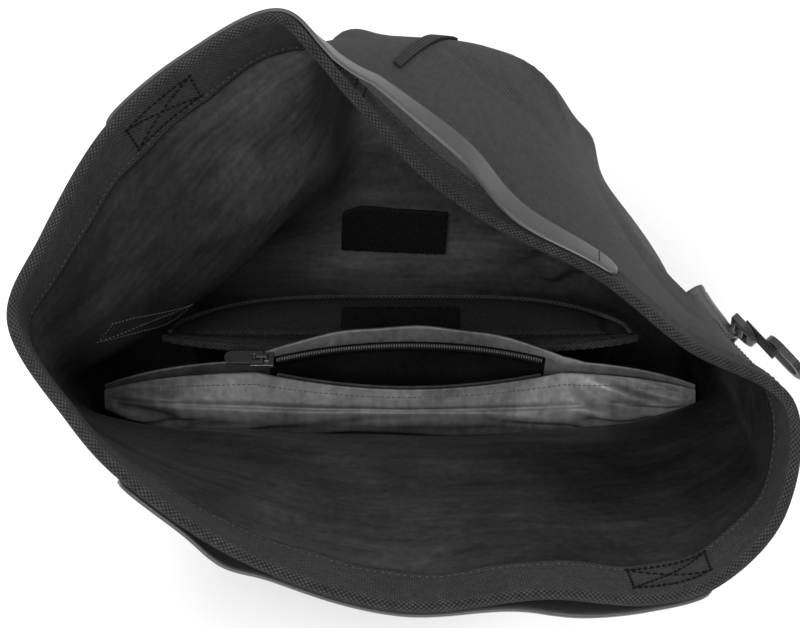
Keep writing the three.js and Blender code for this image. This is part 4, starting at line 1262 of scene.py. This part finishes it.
tubes, stubs, ribs, loop_ribs = {}, {}, {}, {}
for side in SIDES:
    tubes[side] = skin(f"tube_{side}", tube_grid(side, 0.0), tube_grid(side, TAB["wall"]), [coated_cloth],
                       ring=True)
    middle = LOCK_THICK / 2 + GAP + WEBBING_STUB["thick"] / 2
    x, z = np.meshgrid(np.linspace(WEBBING_STUB["from"], WEBBING_STUB["to"], 40),
                       np.linspace(-WEBBING_STUB["half"], WEBBING_STUB["half"], 18), indexing="ij")
    soft = WEBBING_STUB["thick"] / 2 * (1 - 0.6 * (np.abs(z) / WEBBING_STUB["half"]) ** 12)
    stubs[side] = skin(f"webbing_{side}", swung(side, np.stack([x, middle - soft, z], -1)),
                       swung(side, np.stack([x, middle + soft, z], -1)), [webbing])
    line = np.stack([x[:, 0], np.full(40, middle + WEBBING_STUB["thick"] / 2), np.zeros(40)], -1)[1:13]
    outwards = unit(swung(side, line + [0, 1, 0]) - swung(side, line))
    ribs[side] = rows(f"webbing_ribs_{side}", [(swung(side, line), outwards)], *WEBBING_ROW, webbing,
                      roundness=2)
    turn = np.linspace(-1.25, 1.25, 30)
    reach = (SIDE_LOOP["outer"] + SIDE_LOOP["inner"]) / 2
    face = middle + WEBBING_STUB["thick"] / 2 + GAP + SIDE_LOOP["thick"]
    arc = np.stack([SIDE_LOOP["centre"] + SIDE_LOOP["straight"] / 2 + reach * np.cos(turn), np.full(30, face),
                    reach * np.sin(turn)], -1)
    outwards = unit(swung(side, arc + [0, 1, 0]) - swung(side, arc))
    loop_ribs[side] = rows(f"loop_ribs_{side}", [(swung(side, arc), outwards)], *LOOP_ROW, moulded_plastic,
                           roundness=2)

# %% Tab on the back wall
BACK_TAB = {"low": ((-0.0375, 1.975), (-0.0295, 1.945)), "high": ((-0.0182, 2.545), (-0.0135, 2.523))}
BACK_TAB_THICK = 1.6
tab_s, tab_l = patch_places(BACK_TAB["low"], BACK_TAB["high"], 12, 50)
back_strap = skin("back_strap", on_wall(tab_s, tab_l, GAP + BACK_TAB_THICK), on_wall(tab_s, tab_l, GAP),
                  [webbing])
print(back_strap.name, len(back_strap.data.polygons), "faces")

# %% [markdown]
# ## Sewing
# Seams are what tell a sewn bag from a moulded one. Each seam is a line on a surface, lifted by half a
# thread, and the row tree does the rest. Boxes with a cross hold the closing strap's ends on the
# binding; inside the left wall the same box is sewn with a paler thread.

# %% Seam lines
STITCHES = {
    # pitch along the seam, then length, width and thickness of a stitch, in millimetres
    "hem": (3.4, 2.5, 0.75, 0.6),
    "hem_box": (3.0, 2.6, 1.2, 1.2),
    "wall_box": (2.6, 2.0, 0.6, 0.5),
    "body": (4.0, 2.8, 0.7, 0.55),
    "pouch": (2.8, 2.1, 0.6, 0.5),
    "panel": (3.2, 2.4, 0.7, 0.55),
    "tack": (1.8, 1.5, 0.7, 0.5),
}
HEM_JOIN_SHARES = (-0.0025, 0.0035)
WALL_BOX_LIFT = 0.15
TACK_COLUMNS = (5, 144)


def wall_line(corners, offset, count=60):
    """Line through (share, level) corners on the wall, with the vectors that stitches lie on."""
    shares = np.concatenate([np.linspace(a[0], b[0], count) for a, b in zip(corners, corners[1:])])
    levels = np.concatenate([np.linspace(a[1], b[1], count) for a, b in zip(corners, corners[1:])])
    out = wall_frame(shares, levels)[3]
    return on_wall(shares, levels, offset), out * (1 if offset > 0 else -1)


def hem_line(depth, offset, start=0.0, end=1.0, count=700):
    shares = np.linspace(start, end, count)
    lower = depth + hem_wave(shares) * (depth / HEM_INSIDE) ** 3 * (offset < 0)
    levels = level_below_rim(shares, lower)
    out = wall_frame(shares, levels)[3]
    return on_wall(shares, levels, offset), out * (1 if offset > 0 else -1)


def hem_box(start, end, top, bottom, offset):
    """Box with a cross, on the binding's inner leg."""
    corner = [(s, float(level_below_rim(np.array(s), d))) for s, d in
              ((start, top), (end, top), (end, bottom), (start, bottom))]
    loop = [corner[0], corner[1], corner[2], corner[3], corner[0]]
    return [wall_line([a, b], offset, 30) for a, b in zip(loop, loop[1:])] + [
        wall_line([corner[0], corner[2]], offset, 40), wall_line([corner[1], corner[3]], offset, 40)]


inside_leg = -CLOTH - HEM_GAP - BINDING
outside_leg = -inside_leg - CLOTH
hem_seams = rows("hem_seams", [hem_line(HEM_INSIDE - SEAM_ABOVE_EDGE, inside_leg - 0.1),
                               hem_line(HEM_OUTSIDE - 3, outside_leg + 0.1)],
                 *STITCHES["hem"], hem_thread)
hem_join = [wall_line([(s, float(level_below_rim(np.array(s), d))) for d in (2, 14)], outside_leg + 0.2, 30)
            for s in HEM_JOIN_SHARES]
hem_boxes = rows("hem_boxes", hem_box(0.102, 0.142, 6, 24, inside_leg - 0.7)
                 + hem_box(0.602, 0.642, 6, 24, inside_leg - 0.8) + hem_join,
                 *STITCHES["hem_box"], dark_thread)
box_corners = [(0.2236, 2.318), (0.2143, 2.383), (0.1706, 2.026), (0.187, 1.953)]
box_loop = [*box_corners, box_corners[0]]
box_pairs = [*zip(box_loop, box_loop[1:]), (box_corners[0], box_corners[2])]
wall_box = rows("wall_box", [wall_line(pair, -CLOTH - WALL_BOX_LIFT) for pair in box_pairs],
                *STITCHES["wall_box"], pale_thread)
side_seams = rows("side_seams", [wall_line([(s + d, 0.12), (s + d, 2.82)], 0.2, 300)
                                 for s in (0.25, 0.75) for d in (-0.004, 0.004)],
                  *STITCHES["body"], dark_thread)
base_seams = rows("base_seams", [wall_line([(0, 0.09), (1, 0.09)], 0.2, 500)], *STITCHES["body"], dark_thread)

# %% Seams on the pouch and the panel
def pouch_line(t, start, end, count=300):
    x = np.linspace(start, end, count)
    place = np.full_like(x, t)
    return on_pouch(x, place, -0.2), -pouch_inward(x, place)


def panel_line(points, offset):
    across, level = (np.array(v) for v in zip(*points))
    out = panel_frame(across, level)[3]
    return on_panel(across, level, offset), out * (1 if offset > 0 else -1)


pouch_seams = rows("pouch_seams", [pouch_line(0.955, -150, 150), pouch_line(0.06, -150, 150)],
                   *STITCHES["pouch"], grey_thread)
top_seam = [(a, 2 - PANEL_SEAM_IN / PANEL_MM["top"]) for a in np.linspace(-0.9, 0.9, 160)]
panel_seams = rows("panel_seams", [panel_line(top_seam, lift) for lift in (PANEL_THICK - 1.0, 0.75)],
                   *STITCHES["panel"], dark_thread)
strip_lines = []
for start, end, below, sags in GRIPS.values():
    point, up, out = strip_frames(start, end, sags)
    for k in TACK_COLUMNS:
        rise = np.linspace(3 - below, -3, 12)[:, None] * MM
        tack = point[k] + up[k] * rise + out[k] * ((GRIP_THICK + 0.1) * MM)
        strip_lines.append((tack, np.repeat(out[k][None], 12, 0)))
strip_tacks = rows("strip_tacks", strip_lines, *STITCHES["tack"], dark_thread)

# %% [markdown]
# ## What each piece stands for
# Every piece rides a body of the CAD frame, so that it moves when the frame is posed, and the plain
# solid that it stands for is hidden. Only the zip's puller has a body of its own. Cloth is declared with
# a flat size measured on its own finished grid, because no pattern is known, and foam with how full it is.

# %% Riding and plain solids
PIECES = [
    # piece, slot of the record, CAD nodes that it stands for
    (bag_cloth, "twill", ["bag_body", "bag_base"]),
    (hem_canvas, "canvas", ["hem_band"]),
    (pad_panel, "padding", ["padded_pocket"]),
    (panel_roll, "canvas", ["pocket_binding"]),
    (panel_pipe, "canvas", []),
    (pouch_sheet, "lining", ["zip_pouch"]),
    (zip_coil, "zip_coil", []),
    (slider, "zip_metal", ["zip_slider"]),
    (puller, "zip_metal", ["zip_puller"]),
    (pile_patch, "pile", ["loop_patch"]),
    (patch_felt, "pile", []),
    (pile_strip, "pile", ["loop_strip"]),
    (strip_felt, "pile", []),
    (back_strap, "webbing", ["back_tab"]),
    (hooks, "plastic", ["rack_hooks"]),
    (hem_seams, "canvas", []),
    (hem_boxes, "canvas", []),
    (wall_box, "twill", []),
    (side_seams, "twill", []),
    (base_seams, "twill", []),
    (pouch_seams, "lining", []),
    (panel_seams, "padding", []),
    (strip_tacks, "grip_rubber", []),
]
PIECES += [(thing, "grip_rubber", [name]) for name, thing in strips.items()]
PIECES += [(thing, "zip_coil", [name]) for name, thing in tapes.items()]
PIECES += [(thing, "plastic", [name]) for name, thing in moulded.items()]
for side in SIDES:
    PIECES.append((tubes[side], "coated", [f"side_tab_{side}"]))
    PIECES.append((stubs[side], "webbing", [f"side_webbing_{side}"]))
    PIECES.append((ribs[side], "webbing", []))
    PIECES.append((loop_ribs[side], "plastic", []))

for thing, slot_name, nodes in PIECES:
    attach(thing, "puller" if thing is puller else "bag")
    if nodes:
        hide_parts(*nodes)
print(len(PIECES), "pieces ride the frame")


body_outside = body_grid(0)

# %% [markdown]
# ## Stage, light and camera
# The photo is a shop picture: a white ground, a large soft light from above and the front, and a camera
# that looks down into the bag at sixty degrees. Area lights give the soft shadows, and a pale sky fills
# the inside, so that black cloth still shows its folds.

# %% Floor and lights
floor_paint = plain_finish("floor_paint", 0.86, 0.9, 0.6, 0.4, 0.00001)
FLOOR_REACH, FLOOR_DROP = 4.0, 0.0004
floor_corners = [(x * FLOOR_REACH, y * FLOOR_REACH, -FLOOR_DROP)
                 for x, y in ((-1, -1), (1, -1), (1, 1), (-1, 1))]
studio_floor = add_object("studio_floor", floor_corners, [[0, 1, 2, 3]], [floor_paint])
studio_floor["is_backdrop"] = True

LIGHTS = [
    # name, place in metres, size in metres, power in watts
    ("key", (-0.5, -1.3, 2.4), 1.4, 75),
    ("right_fill", (1.6, 0.2, 1.9), 1.2, 26),
    ("back", (0.1, 1.7, 1.6), 1.4, 14),
]
AIM = Vector((0, -0.08, 0.35))
for name, place, size, power in LIGHTS:
    lamp = bpy.data.lights.new(name, "AREA")
    lamp.size = size
    lamp.energy = power
    holder = to_scene(name, lamp)
    holder.location = place
    holder.rotation_euler = (AIM - Vector(place)).to_track_quat("-Z", "Y").to_euler()

SKY_STRENGTH = 0.42
sky = bpy.data.worlds.new("studio")
sky.use_nodes = True
background = sky.node_tree.nodes["Background"]
background.inputs["Color"].default_value = (1, 1, 1, 1)
background.inputs["Strength"].default_value = SKY_STRENGTH
bpy.context.scene.world = sky
bpy.context.scene.view_settings.view_transform = "Standard"
print(len(LIGHTS), "area lights and a pale sky")

# %% Camera at the photo's angle
CAMERA_PLACE = (0, -0.7035, 1.4645)
CAMERA_TILT = 30
LENS_MM, SENSOR_MM = 110.1, 36
lens = bpy.data.cameras.new("photo_camera")
lens.lens = LENS_MM
lens.sensor_width = SENSOR_MM
camera = to_scene("photo_camera", lens)
camera.location = CAMERA_PLACE
camera.rotation_euler = (math.radians(CAMERA_TILT), 0, 0)
bpy.context.scene.camera = camera
print("camera looks down at", 90 - CAMERA_TILT, "degrees")

# %% Sizes and the end
low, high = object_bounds()
print("dressed box", [round(v, 3) for v in low], [round(v, 3) for v in high])
